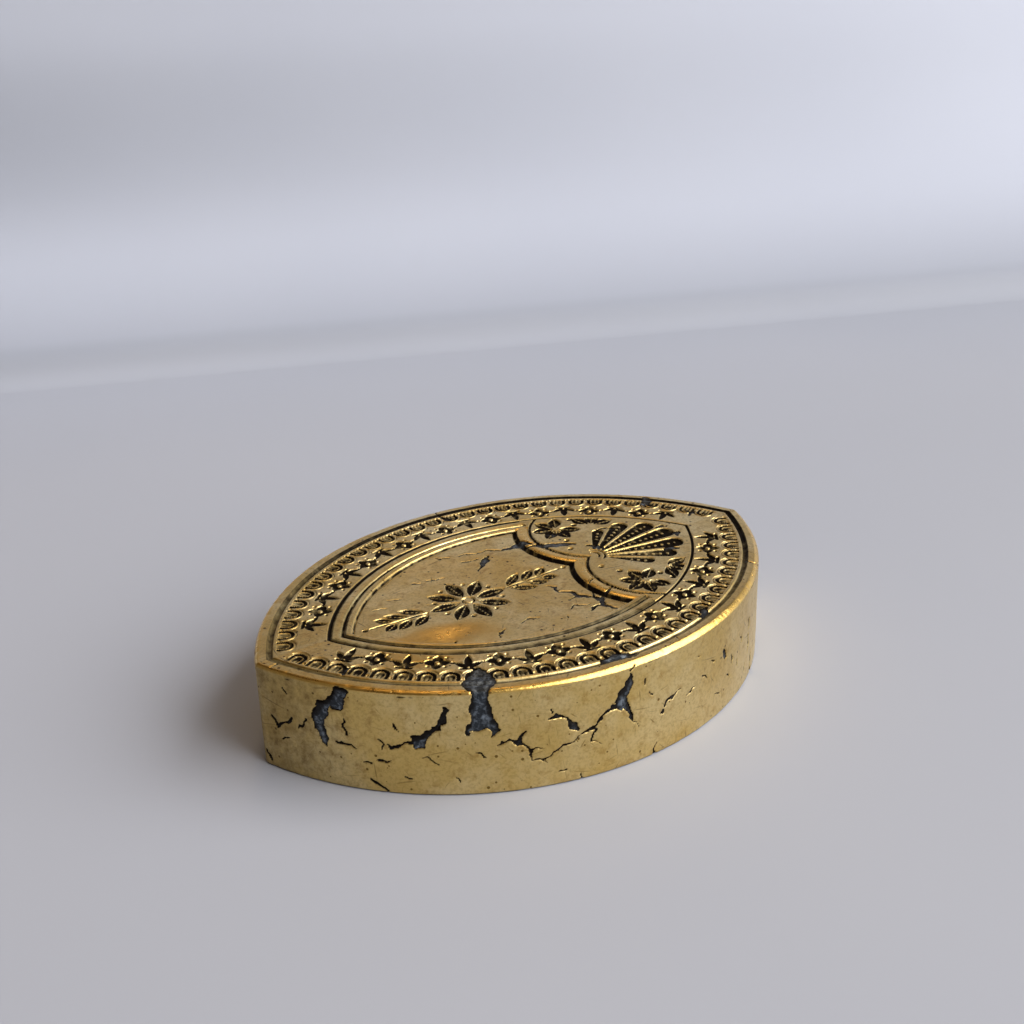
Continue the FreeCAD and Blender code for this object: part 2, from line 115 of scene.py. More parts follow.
# Cracks in the skin: lines of (along the edge from the middle, height on the wall or, above
# zero, way in over the face, width). The middle of each long side is zero, +X is positive.
FRONT_CRACKS = [
    [(-37.4, -0.7, 1.1), (-38.3, -1.2, 1.7), (-39.3, -2.0, 1.1), (-40.1, -2.9, 1.0), (-41.0, -4.0, 2.0),
     (-41.6, -5.1, 1.7), (-41.4, -6.2, 1.7), (-41.1, -7.1, 1.2), (-40.8, -8.1, 0.8), (-40.5, -9.1, 0.0)],
    [(-38.3, -1.4, 1.1), (-38.8, -2.7, 1.7)],
    [(-40.2, -2.9, 0.6), (-41.6, -3.1, 0.6), (-41.6, -2.8, 0.1)],
    [(-25.4, -2.2, 0.3), (-25.7, -3.0, 0.4), (-26.1, -3.9, 0.5), (-26.8, -4.7, 0.4), (-27.4, -5.2, 0.6),
     (-28.2, -6.0, 0.7), (-28.8, -6.6, 1.3), (-28.7, -7.1, 1.5), (-28.3, -7.5, 0.7)],
    [(-29.4, -7.2, 0.4), (-30.3, -7.3, 0.2), (-32.1, -7.6, 0.3), (-32.8, -7.2, 0.0)],
    [(-26.8, -4.8, 0.4), (-26.2, -5.0, 0.1)],
    [(-21.2, 4.9, 1.7), (-21.4, 3.5, 3.2), (-21.3, 2.1, 4.1), (-21.4, 1.4, 3.2), (-21.4, 0.0, 1.8),
     (-21.4, -1.2, 1.8), (-21.6, -2.5, 2.4), (-21.4, -3.4, 2.5), (-21.9, -4.4, 2.1), (-22.0, -5.0, 1.0)],
    [(-22.2, -4.6, 0.9), (-23.0, -4.9, 0.8), (-23.1, -5.6, 0.4)],
    [(-20.9, -3.6, 1.2), (-20.1, -4.9, 0.8), (-19.7, -5.7, 0.8), (-20.0, -6.6, 0.1)],
    [(-19.4, -7.7, 0.1), (-18.5, -7.1, 0.2), (-17.9, -7.2, 0.2), (-17.0, -7.6, 0.8), (-16.2, -8.0, 0.2),
     (-15.4, -8.7, 0.2), (-15.3, -10.0, 0.1), (-14.3, -10.4, 0.25), (-13.6, -11.0, 0.0)],
    [(-16.9, -7.6, 0.7), (-16.8, -6.8, 0.4), (-16.2, -6.1, 0.1)],
    [(-15.4, -8.6, 0.1), (-14.7, -8.8, 0.2), (-14.1, -8.9, 0.0)],
    [(-14.3, -10.4, 0.25), (-12.8, -9.7, 0.1), (-11.8, -8.9, 0.22), (-10.2, -8.6, 0.16),
     (-9.2, -7.8, 0.1), (-8.2, -7.5, 0.4), (-7.4, -7.2, 0.15), (-6.8, -6.8, 0.4), (-6.2, -6.1, 0.25),
     (-5.3, -5.5, 0.4), (-4.5, -5.5, 0.3)],
    [(-8.1, -7.6, 0.2), (-7.5, -7.7, 0.25), (-7.8, -9.0, 0.15), (-6.6, -9.9, 0.0)],
    [(-2.4, -1.4, 0.3), (-2.3, -2.2, 0.7), (-2.7, -3.2, 0.8), (-3.3, -4.0, 1.2), (-3.6, -4.9, 1.6),
     (-4.0, -5.5, 0.8), (-5.0, -5.3, 0.2)],
    [(-3.3, -5.4, 0.8), (-2.7, -6.3, 0.7), (-2.4, -7.1, 0.45), (-1.8, -8.2, 0.1), (-1.1, -9.3, 0.0)],
    [(-1.8, -0.4, 0.16), (-2.5, -1.0, 0.1)], [(-12.8, -3.4, 0.1), (-12.6, -3.9, 0.22)],
    [(-12.9, -4.6, 0.2), (-12.3, -4.5, 0.55), (-11.5, -5.1, 0.35)],
    [(-11.2, -5.3, 0.3), (-10.7, -5.7, 0.5), (-10.2, -6.4, 0.9), (-9.7, -7.0, 0.4)],
    [(-0.2, -2.7, 0.12), (-0.1, -3.3, 0.35), (-0.1, -3.7, 0.1)],
    [(5.7, -6.5, 0.0), (4.5, -7.0, 0.28), (3.2, -7.4, 0.25), (3.0, -7.8, 0.1)],
    [(2.7, -8.2, 0.3), (2.6, -8.6, 0.35)], [(8.5, -7.5, 0.0), (7.6, -7.6, 0.18), (7.0, -7.9, 0.1)],
    [(14.9, -5.4, 0.3), (15.5, -6.0, 0.9), (16.0, -6.7, 0.4)], [(24.5, -4.8, 0.35), (24.7, -6.2, 0.3)],
    [(24.1, -7.3, 0.3), (24.3, -8.8, 0.4), (24.0, -10.1, 0.2)],
    [(26.0, -11.1, 0.4), (26.4, -12.6, 0.45), (26.3, -14.3, 0.4)],
    [(1.8, -12.6, 0.1), (1.4, -13.4, 0.32), (1.5, -14.1, 0.2)],
    [(-9.1, -13.5, 0.15), (-9.0, -14.2, 0.22)],
    [(-48.7, -6.7, 0.15), (-47.7, -7.7, 0.3), (-46.6, -7.3, 0.25), (-45.5, -6.2, 0.15)],
    [(-44.2, -6.9, 0.22), (-43.7, -6.9, 0.3), (-43.4, -5.7, 0.2)],
    [(-37.9, -4.7, 0.18), (-38.1, -5.7, 0.28), (-37.7, -6.6, 0.18)],
    [(-39.1, -7.7, 0.16), (-38.2, -7.7, 0.26), (-37.4, -8.1, 0.18), (-36.5, -8.6, 0.0)],
    [(-35.6, -10.4, 0.18), (-34.9, -10.2, 0.18)],
    [(-34.3, -9.7, 0.1), (-33.6, -9.6, 0.22), (-32.4, -9.8, 0.1)],
    [(-28.6, -9.0, 0.0), (-27.6, -9.1, 0.12), (-26.9, -9.8, 0.16), (-26.0, -10.6, 0.0)],
    [(-35.1, -12.7, 0.15), (-34.3, -13.0, 0.5), (-33.8, -13.5, 0.3), (-33.0, -14.0, 0.1)],
    [(-31.9, -4.4, 0.0), (-31.5, -5.1, 0.14), (-31.2, -5.6, 0.0)],
    [(-22.1, -8.8, 0.0), (-21.5, -8.8, 0.18), (-21.0, -9.2, 0.2)],
    [(-50.2, -12.2, 0.2), (-49.7, -13.4, 0.35)], [(-47.6, -9.4, 0.1), (-46.2, -8.9, 0.15)],
    [(10.0, -6.6, 0.1), (10.6, -6.9, 0.3), (11.0, -7.3, 0.1)],
    [(17.6, -6.9, 0.15), (17.9, -7.9, 0.3), (17.7, -8.5, 0.1)], [(16.3, -9.4, 0.1), (17.0, -9.8, 0.2)],
    [(12.4, -5.2, 0.1), (12.9, -5.6, 0.22)], [(19.5, -8.6, 0.1), (19.8, -9.5, 0.2)],
    [(20.8, -5.9, 0.1), (21.3, -6.4, 0.25), (21.1, -7.0, 0.1)], [(9.2, -3.2, 0.1), (9.6, -3.5, 0.18)],
    [(0.6, -5.0, 0.1), (1.0, -5.3, 0.2)], [(13.4, -11.0, 0.1), (14.2, -11.2, 0.2)],
    [(22.6, -11.0, 0.15), (22.9, -12.0, 0.22)], [(-46.5, -2.2, 0.1), (-46.0, -2.8, 0.18)],
    [(-33.9, -6.9, 0.1), (-33.4, -7.6, 0.16), (-33.5, -8.2, 0.1)],
    [(-30.9, -11.6, 0.1), (-30.1, -11.9, 0.18)], [(-12.0, -12.4, 0.1), (-11.2, -12.2, 0.18)],
    [(-24.6, -11.9, 0.1), (-24.1, -12.6, 0.18)],
    [(-38.9, 2.7, 0.6), (-39.1, 4.0, 0.9), (-38.6, 4.4, 0.4)],
    [(-5.2, 2.4, 0.7), (-3.6, 2.3, 1.5), (-1.6, 1.9, 1.2), (-0.4, 1.5, 0.5)],
    [(13.2, 2.5, 0.3), (14.6, 2.7, 1.2), (15.9, 3.0, 0.6)],
    [(31.6, 0.2, 0.1), (31.9, 1.0, 0.25), (32.3, 1.9, 0.1)], [(-48.2, 0.4, 0.1), (-47.6, 1.2, 0.2)],
    [(5.6, 0.6, 0.1), (6.2, 1.3, 0.15)],
]
BACK_CRACKS = [
    [(36.1, 1.1, 0.6), (36.4, 2.2, 1.7), (36.0, 3.4, 1.0)],
    [(44.4, 3.2, 0.3), (45.0, 4.4, 0.9), (44.6, 5.6, 0.4)],
    [(2.0, -0.4, 0.15), (2.2, 0.8, 0.2), (2.0, 2.2, 0.35), (2.6, 3.6, 0.7), (2.9, 4.6, 0.3)],
    [(31.5, -1.2, 0.3), (30.6, -3.0, 1.1), (29.2, -4.4, 1.7), (28.6, -6.0, 0.9), (29.3, -7.6, 0.1)],
    [(28.6, -6.2, 0.4), (25.3, -7.5, 0.15), (21.4, -7.0, 0.2), (17.2, -8.6, 0.3), (14.0, -8.1, 0.05)],
    [(8.0, -3.0, 0.1), (7.1, -4.6, 0.5), (5.8, -5.8, 1.2), (6.3, -7.1, 0.4), (5.5, -8.6, 0.05)],
    [(-12.0, -2.2, 0.2), (-13.0, -4.2, 0.9), (-12.1, -6.6, 1.5), (-13.4, -8.4, 0.7),
     (-12.9, -10.4, 0.1)],
    [(-13.4, -8.4, 0.3), (-17.0, -9.9, 0.15), (-20.3, -9.2, 0.2), (-24.1, -10.8, 0.1)],
    [(-33.0, -3.6, 0.2), (-34.1, -5.0, 0.8), (-33.6, -6.4, 0.3)],
    [(-43.5, -8.2, 0.15), (-42.4, -9.0, 0.3), (-41.4, -8.6, 0.1)],
    [(41.0, -9.4, 0.2), (42.2, -10.4, 0.4), (43.0, -12.0, 0.1)],
    [(-2.5, -11.0, 0.1), (-1.6, -11.9, 0.3), (-0.4, -12.2, 0.1)],
]
# The same for the field and its frame, in plan: lines of (x, y, width).
FIELD_CRACKS = [
    [(-2.6, 11.9, 0.1), (-0.8, 11.4, 0.25), (1.5, 11.1, 0.2), (3.2, 9.7, 0.3), (4.6, 9.6, 1.0),
     (5.8, 9.8, 1.9), (6.9, 9.4, 1.1), (7.6, 8.6, 0.4)],
    [(-2.8, 6.7, 0.15), (-1.2, 7.4, 0.6), (-0.3, 8.7, 1.1), (0.4, 9.4, 0.4)],
    [(6.2, 8.3, 0.3), (7.6, 7.3, 0.9), (9.4, 6.3, 1.2), (11.1, 5.2, 1.3), (12.4, 4.5, 0.4)],
    [(13.2, 3.3, 0.4), (14.2, 2.0, 1.1), (15.1, 0.8, 0.5)],
    [(2.2, -5.6, 0.2), (3.2, -6.8, 0.5), (3.6, -8.1, 0.7), (4.9, -9.4, 0.4), (5.4, -10.8, 0.8),
     (4.6, -12.2, 0.5), (5.2, -13.9, 0.2)],
    [(3.4, -7.9, 0.5), (1.9, -8.3, 0.15)],
    [(5.2, -10.4, 0.7), (6.9, -10.2, 0.5), (8.1, -9.6, 0.15)],
    [(5.0, -12.1, 0.5), (3.1, -12.0, 0.3), (2.0, -12.6, 0.15)], [(-12.4, 8.5, 0.15), (-11.3, 7.8, 0.2)],
    [(-10.2, 7.9, 0.1), (-9.1, 7.5, 0.2), (-8.1, 7.4, 0.1)],
    [(-20.4, 4.6, 0.1), (-19.4, 4.4, 0.2), (-18.4, 4.0, 0.1)], [(-17.4, 5.9, 0.1), (-15.9, 5.4, 0.15)],
    [(-10.9, -11.4, 0.15), (-10.2, -10.6, 0.3), (-9.4, -10.0, 0.1)],
    [(-5.7, 13.0, 0.1), (-4.0, 12.2, 0.2)], [(24.9, 2.0, 0.3), (25.7, 1.9, 0.8), (26.3, 1.5, 0.3)],
    [(25.9, -0.7, 0.3), (26.2, -1.4, 0.8), (25.9, -2.1, 0.3)],
    [(21.4, -4.0, 0.3), (22.3, -4.5, 0.9), (22.9, -5.1, 0.3)], [(-16.0, -9.6, 0.1), (-15.6, -8.3, 0.2)],
    [(-1.6, -13.1, 0.1), (-1.0, -12.3, 0.2)],
    [(4.9, -9.4, 0.3), (6.4, -8.1, 0.15), (6.2, -6.9, 0.2), (7.6, -5.8, 0.1)],
    [(3.4, -11.1, 0.1), (1.7, -10.4, 0.25), (0.3, -10.9, 0.1)],
    [(1.9, -3.1, 0.1), (2.7, -4.2, 0.3), (2.2, -5.4, 0.15)],
    [(-6.6, -9.9, 0.1), (-5.2, -9.4, 0.22), (-4.1, -9.9, 0.1)], [(-13.6, 1.9, 0.1), (-12.2, 1.5, 0.15)],
    [(-3.6, 10.1, 0.1), (-2.4, 9.4, 0.3), (-0.9, 9.6, 0.1)],
    [(17.5, 6.9, 0.2), (18.8, 6.2, 0.6), (20.2, 5.9, 0.2)],
    [(11.2, 9.9, 0.2), (12.1, 9.1, 0.7), (13.3, 8.8, 0.2)],
]
HOLE_FROM = 0.16          # narrower cracks are only a groove in the skin
CRACK_DEPTH = 0.14
FLAKE_SINK = 0.14         # the dark metal lies this far below the skin's face in a flake
TIP_DARKER = 0.485           # the wall is darker and browner towards the tip at -X

# Each stretch of the skin: its cracks, the seed of its blotches and its side along Y
FRONT = (FRONT_CRACKS, 11, -1)
BACK = (BACK_CRACKS, 12, 1)
FIELD = (FIELD_CRACKS, 31)

# Squares along and across each sheet, and up the dark body: underside, wall, border, field
WALL_GRID = (700, 130)
BORDER_GRID = (1000, 96)
FRAME_GRID = (1200, 36)
FIELD_GRID = (430, 226)
CORE_COLUMNS = 300
CORE_ROWS = (6, 58, 42, 40)
CORE_BORDER = 10.0        # from the edge to where the rows of the field begin


# ---- Shapes ----

def smooth(low, high, value):
    """0 up to the low value, 1 from the high one, and a soft S between them."""
    share = np.clip((value - low) / (high - low), 0.0, 1.0)
    return share * share * (3 - 2 * share)


def lattice(column, row, seed):
    """A repeatable random number, from 0 to 1, for each crossing of a lattice."""
    value = np.sin(column * 127.1 + row * 311.7 + seed * 74.7) * 43758.5453
    return value - np.floor(value)


def noise(x, y, size, seed=0):
    """Soft blotches of about the given size, from -1 to 1."""
    x, y = (x * 0.8 + y * 0.6) / size, (y * 0.8 - x * 0.6) / size
    column, row = np.floor(x), np.floor(y)
    a, b = x - column, y - row
    a, b = a * a * (3 - 2 * a), b * b * (3 - 2 * b)
    near = lattice(column, row, seed) * (1 - a) + lattice(column + 1, row, seed) * a
    far = lattice(column, row + 1, seed) * (1 - a) + lattice(column + 1, row + 1, seed) * a
    return 2 * (near * (1 - b) + far * b) - 1


def most(*parts):
    """The highest of several values at each point."""
    return np.maximum.reduce(parts)


def lumps(x, y, size, seed=0):
    """Three layers of blotches, each half as large as the last."""
    return sum(noise(x, y, size / 2 ** layer, seed + layer) / 2 ** layer for layer in range(3)) / 1.75


def tip_turn(offset):
    """Angle at which an arc with the given offset meets the long axis."""
    return np.arccos(np.clip(ARC_OFFSET / (ARC_RADIUS - offset), -1, 1))


def on_arc(radius, turn, side):
    """x and y of a point on an arc concentric with the outline, at the front or the back."""
    return radius * np.sin(turn), side * (radius * np.cos(turn) - ARC_OFFSET)


def section(way, turn):
    """Offset, height and lean of the outer surface: up the wall, round the edge, over the face."""
    edge = EDGE_SHARP + (EDGE_ROUND - EDGE_SHARP) * smooth(-0.4, 0.0, turn)
    lean = np.clip((way + edge) / (2 * edge), 0, 1) * math.pi / 2
    offset = edge * (1 - np.cos(lean) ** EDGE_FLAT) + np.maximum(way - edge, 0)
    low = np.clip(1 - (way + HEIGHT) / FOOT_ROUND, 0, 1)
    offset = offset + FOOT_ROUND * (1 - np.sqrt(1 - low ** 2))
    height = HEIGHT - edge * (1 - np.sin(lean) ** EDGE_FLAT) + np.minimum(way + edge, 0)
    return offset, height, lean


def groove(value, start, width, slope=SLOPE):
    """1 on a groove's floor, 0 outside it."""
    away = np.abs(value - start - width / 2)
    return 1 - smooth(width / 2 - slope * 1.5, width / 2 + slope * 0.3, away)


def half_round(value, start, width, before, crest, after):
    """Height over a bead that starts at one level, rises to its crest and falls to another."""
    share = np.clip((value - start) / width, 0, 1)
    rise = np.sqrt(1 - (1 - 2 * share) ** 2)
    return np.where(share < 0.5, before + (crest - before) * rise, after + (crest - after) * rise)


def petal(along, across, length, width):
    """How deep inside an almond a point lies: 1 on its midline, 0 on its edge and outside."""
    half = width / 2 * np.sin(math.pi * np.clip(along / length, 0, 1)) + 1e-9
    return np.clip(1 - np.abs(across) / half, 0, 1) * ((along > 0) & (along < length))


def cut_leaf(along, across, length, width):
    """A blunt leaf cut with steep sides and a flat floor."""
    share = np.clip(along / length, 0, 1)
    half = width / 2 * np.sin(math.pi * share ** 0.8) ** 0.7
    inside = half - np.abs(across)
    depth = 0.7 * smooth(0.0, 0.16, inside) + 0.3 * smooth(0.1, 0.5, inside)
    return depth * ((along > 0) & (along < length))


def carved_petal(along, across, length, width, veins=0.0):
    """Depth of an engraved leaf: a scoop with a fine rib along its middle and slanting veins."""
    inside = petal(along, across, length, width)
    depth = smooth(0.0, 0.35, inside)
    rib = (1 - smooth(0.04, 0.16, np.abs(across))) * smooth(0.0, 0.3, inside)
    hatch = smooth(0.3, 0.7, 0.5 + 0.5 * np.cos(2 * math.pi * (along + np.abs(across) * 0.9) / 0.62))
    return CUT * depth * (1 - 0.7 * rib) * (1 - veins * hatch * smooth(0.05, 0.4, inside))


def flute(along, across, length, spread):
    """A flute of a shell: it widens from a narrow foot, ends round and has a row of pearls in it."""
    end = length * (1 - spread)
    straight = spread * along - np.abs(across)
    rounded = spread * end - np.hypot(along - end, across)
    inside = np.where(along < end, straight, rounded)
    pearl = spot(along - (np.floor(along) + 0.5), across, 0.2, 0.34)
    pearls = pearl * smooth(0.5, 0.7, spread * along) * (along < end + 0.3)
    return CUT * smooth(0.0, 0.2, inside) * (1 - 0.75 * pearls) * smooth(2.0, 2.4, along)


def corner_cut(along):
    """How far the upright corner at a tip is rounded off, at a distance from the tip along the edge."""
    lead = TIP_ROUND * math.tan(math.pi / 2 - float(tip_turn(0)))
    return np.maximum(lead - along, 0) ** 2 / (2 * TIP_ROUND)


def turned(x, y, centre_x, centre_y, angle):
    """Coordinates along and across a direction that starts at a centre."""
    c, s = math.cos(math.radians(angle)), math.sin(math.radians(angle))
    return (x - centre_x) * c + (y - centre_y) * s, (y - centre_y) * c - (x - centre_x) * s


def spokes(x, y, count):
    """Distance from the middle, angle from the nearest of some spokes, and angle from the nearest
    gap between two."""
    angle, sector = np.arctan2(y, x), 2 * math.pi / count
    on_spoke = angle - np.round(angle / sector) * sector
    between = angle - (np.floor(angle / sector) + 0.5) * sector
    return np.hypot(x, y), on_spoke, between


def spot(x, y, inner, outer):
    """1 inside a small round spot, 0 outside it."""
    return 1 - smooth(inner, outer, np.hypot(x, y))


def line_groove(x, y, start, end, width, depth):
    """Depth of a straight engraved line with rounded ends."""
    dx, dy = end[0] - start[0], end[1] - start[1]
    share = np.clip(((x - start[0]) * dx + (y - start[1]) * dy) / (dx * dx + dy * dy), 0, 1)
    distance = np.hypot(x - start[0] - share * dx, y - start[1] - share * dy)
    return depth * (1 - smooth(width * 0.2, width * 0.6, distance))


# ---- Engraving ----

def arcade_cut(turn, offset):
    """U-shaped arches side by side, open to the rim: a deep outline round a sunk tongue with two
    slots, a punched dot between the feet, and a scalloped line beyond. Gives the depth and how
    much grime and painted shade it holds."""
    middle = ARC_RADIUS - ARCADE_AT - ARCADE_WIDTH / 2
    step = ARCH_PITCH / middle
    usable = tip_turn(ARCADE_AT + ARCADE_WIDTH / 2)
    index = np.round(turn / step)
    shown = np.abs(index) <= int(usable / step)
    along = (turn - index * step) * (ARC_RADIUS - offset)
    inward = offset - ARCADE_AT
    reach = np.hypot(along, np.maximum(inward - ARCADE_WIDTH + ARCH_RADIUS, 0))
    band = shown * smooth(-0.05, 0.05, inward)
    outline = groove(reach, ARCH_RADIUS - ARCH_CUT, ARCH_CUT) * band
    tongue = (1 - smooth(0.54, 0.66, reach)) * band
    sunk = 0.25 + 0.6 * smooth(0.1, 1.1, inward)
    slots = groove(np.abs(along), 0.14, 0.26, 0.06) * smooth(0.0, 0.15, inward)
    scallop = groove(reach, ARCH_RADIUS + 0.12, 0.26, 0.08) * band * smooth(1.0, 1.3, inward)
    scallop = scallop * (inward < 2.8)
    dot = spot(np.abs(along) - ARCH_PITCH / 2, inward - 0.35, 0.12, 0.3)
    cut = most(outline, tongue * np.maximum(sunk, slots), 0.6 * scallop)
    # The sunk tongues are darkened: dirt and painted shade.
    tongue_dirt_and_shade = tongue * np.maximum(0.45 + 0.5 * sunk, slots)
    dirt_and_shade = most(smooth(0.0, 0.2, outline), tongue_dirt_and_shade, 0.8 * scallop)
    return CUT * np.maximum(cut, 0.6 * dot * band), dirt_and_shade


def flower(along, across):
    """Four broad petals round a raised pellet, with a dot between each two."""
    reach, on_spoke, between = spokes(along, across, 4)
    leaf = cut_leaf(reach * np.cos(on_spoke) - 0.1, reach * np.sin(on_spoke), 1.6, 1.5)
    dot = spot(reach * np.cos(between) - 1.5, reach * np.sin(between), 0.16, 0.3)
    return np.maximum(leaf * smooth(0.26, 0.4, reach), dot)


def palmette(along, across):
    """Three broad leaves that spread from a foot."""
    depth = line_groove(along, across, (-0.9, -1.5), (0.9, -1.5), 0.55, 1.0)
    for lean, length, width in ((0, 2.9, 1.15), (52, 2.2, 1.05)):
        reach, side = turned(np.abs(along), across, 0, -1.25, 90 - lean)
        depth = np.maximum(depth, cut_leaf(reach - 0.1, side, length, width))
    return depth


def running_ornament(turn, offset):
    """Flowers and palmettes in turn, with a pellet between each two."""
    step = ORNAMENT_PITCH / (ARC_RADIUS - ORNAMENT_MIDDLE)
    last = int((tip_turn(ORNAMENT_MIDDLE + 1.3) - step * 0.45) / step)
    index = np.round(turn / step)
    radius = ARC_RADIUS - offset
    along, across = (turn - index * step) * radius, offset - ORNAMENT_MIDDLE
    cut = np.where(index % 2 == 0, flower(along, across), palmette(along, across))
    cut = cut * (np.abs(index) <= last)
    half = np.floor(turn / step) + 0.5
    pellet = spot((turn - half * step) * radius, across + 0.1, 0.2, 0.34)
    return CUT * np.maximum(cut, 0.9 * pellet * (np.abs(half) < last))


def rosette_cut(x, y):
    """Eight veined petals round a ringed boss, with a pellet between each two."""
    reach, on_spoke, between = spokes(x - DISH_X, y, 8)
    petals = carved_petal(reach * np.cos(on_spoke) - 1.2, reach * np.sin(on_spoke), 4.7, 2.3, 0.3)
    pellet = spot(reach * np.cos(between) - 4.6, reach * np.sin(between), 0.24, 0.4)
    return most(petals, CUT * groove(reach, 0.62, 0.36, 0.1), CUT * pellet)


def sprig_cut(x, y):
    """A stem with three pairs of leaves from the rosette towards each end of the field."""
    away = np.abs(x - DISH_X)
    y = np.abs(y)
    cut = line_groove(away, y, (6.2, 0), (14.6, 0), 0.4, CUT * 0.9)
    for start, length in ((6.3, 4.0), (8.8, 3.5), (11.1, 2.7)):
        along, across = turned(away, y, start, 0.35, 34)
        cut = np.maximum(cut, carved_petal(along, across, length, 1.7, 0.35))
    return np.maximum(cut, CUT * spot(away - 15.4, y, 0.26, 0.42))


def head_cut(x, y):
    """A fluted shell over the lobes, with a leaf tuft on either side and dots beside it."""
    x0, y = CUSP_X + 3.4, np.abs(y)
    reach = np.hypot(x - x0, y)
    turn = np.degrees(np.arctan2(y, x - x0))
    open_side = smooth(-6, -2, 66 - turn)
    rings = np.maximum(groove(reach, 0.8, 0.36, 0.1), groove(reach, 1.6, 0.36, 0.1))
    cut = CUT * 0.9 * rings * open_side
    for index in range(4):
        angle = FAN_SPREAD * index / 6
        length = 14.6 - 5.6 * (index / 3) ** 2
        along, across = turned(x, y, x0, 0, angle)
        cut = np.maximum(cut, flute(along, across, length, 0.122))
    for gap, side, angles in ((4.5, 10.5, (60, 112, 164, 216, 268, 320)), (9.4, 8.6, (-4, 50, 104))):
        for angle in angles:
            along, across = turned(x, y, CUSP_X + gap, side, angle)
            cut = np.maximum(cut, carved_petal(along - 0.4, across, 3.4, 2.2, 0.25))
    for gap, side in ((2.2, 3.6), (3.4, 6.2), (7.4, 10.0), (8.0, 12.0), (16.6, 5.6)):
        cut = np.maximum(cut, CUT * spot(x - CUSP_X - gap, y - side, 0.3, 0.5))
    return cut


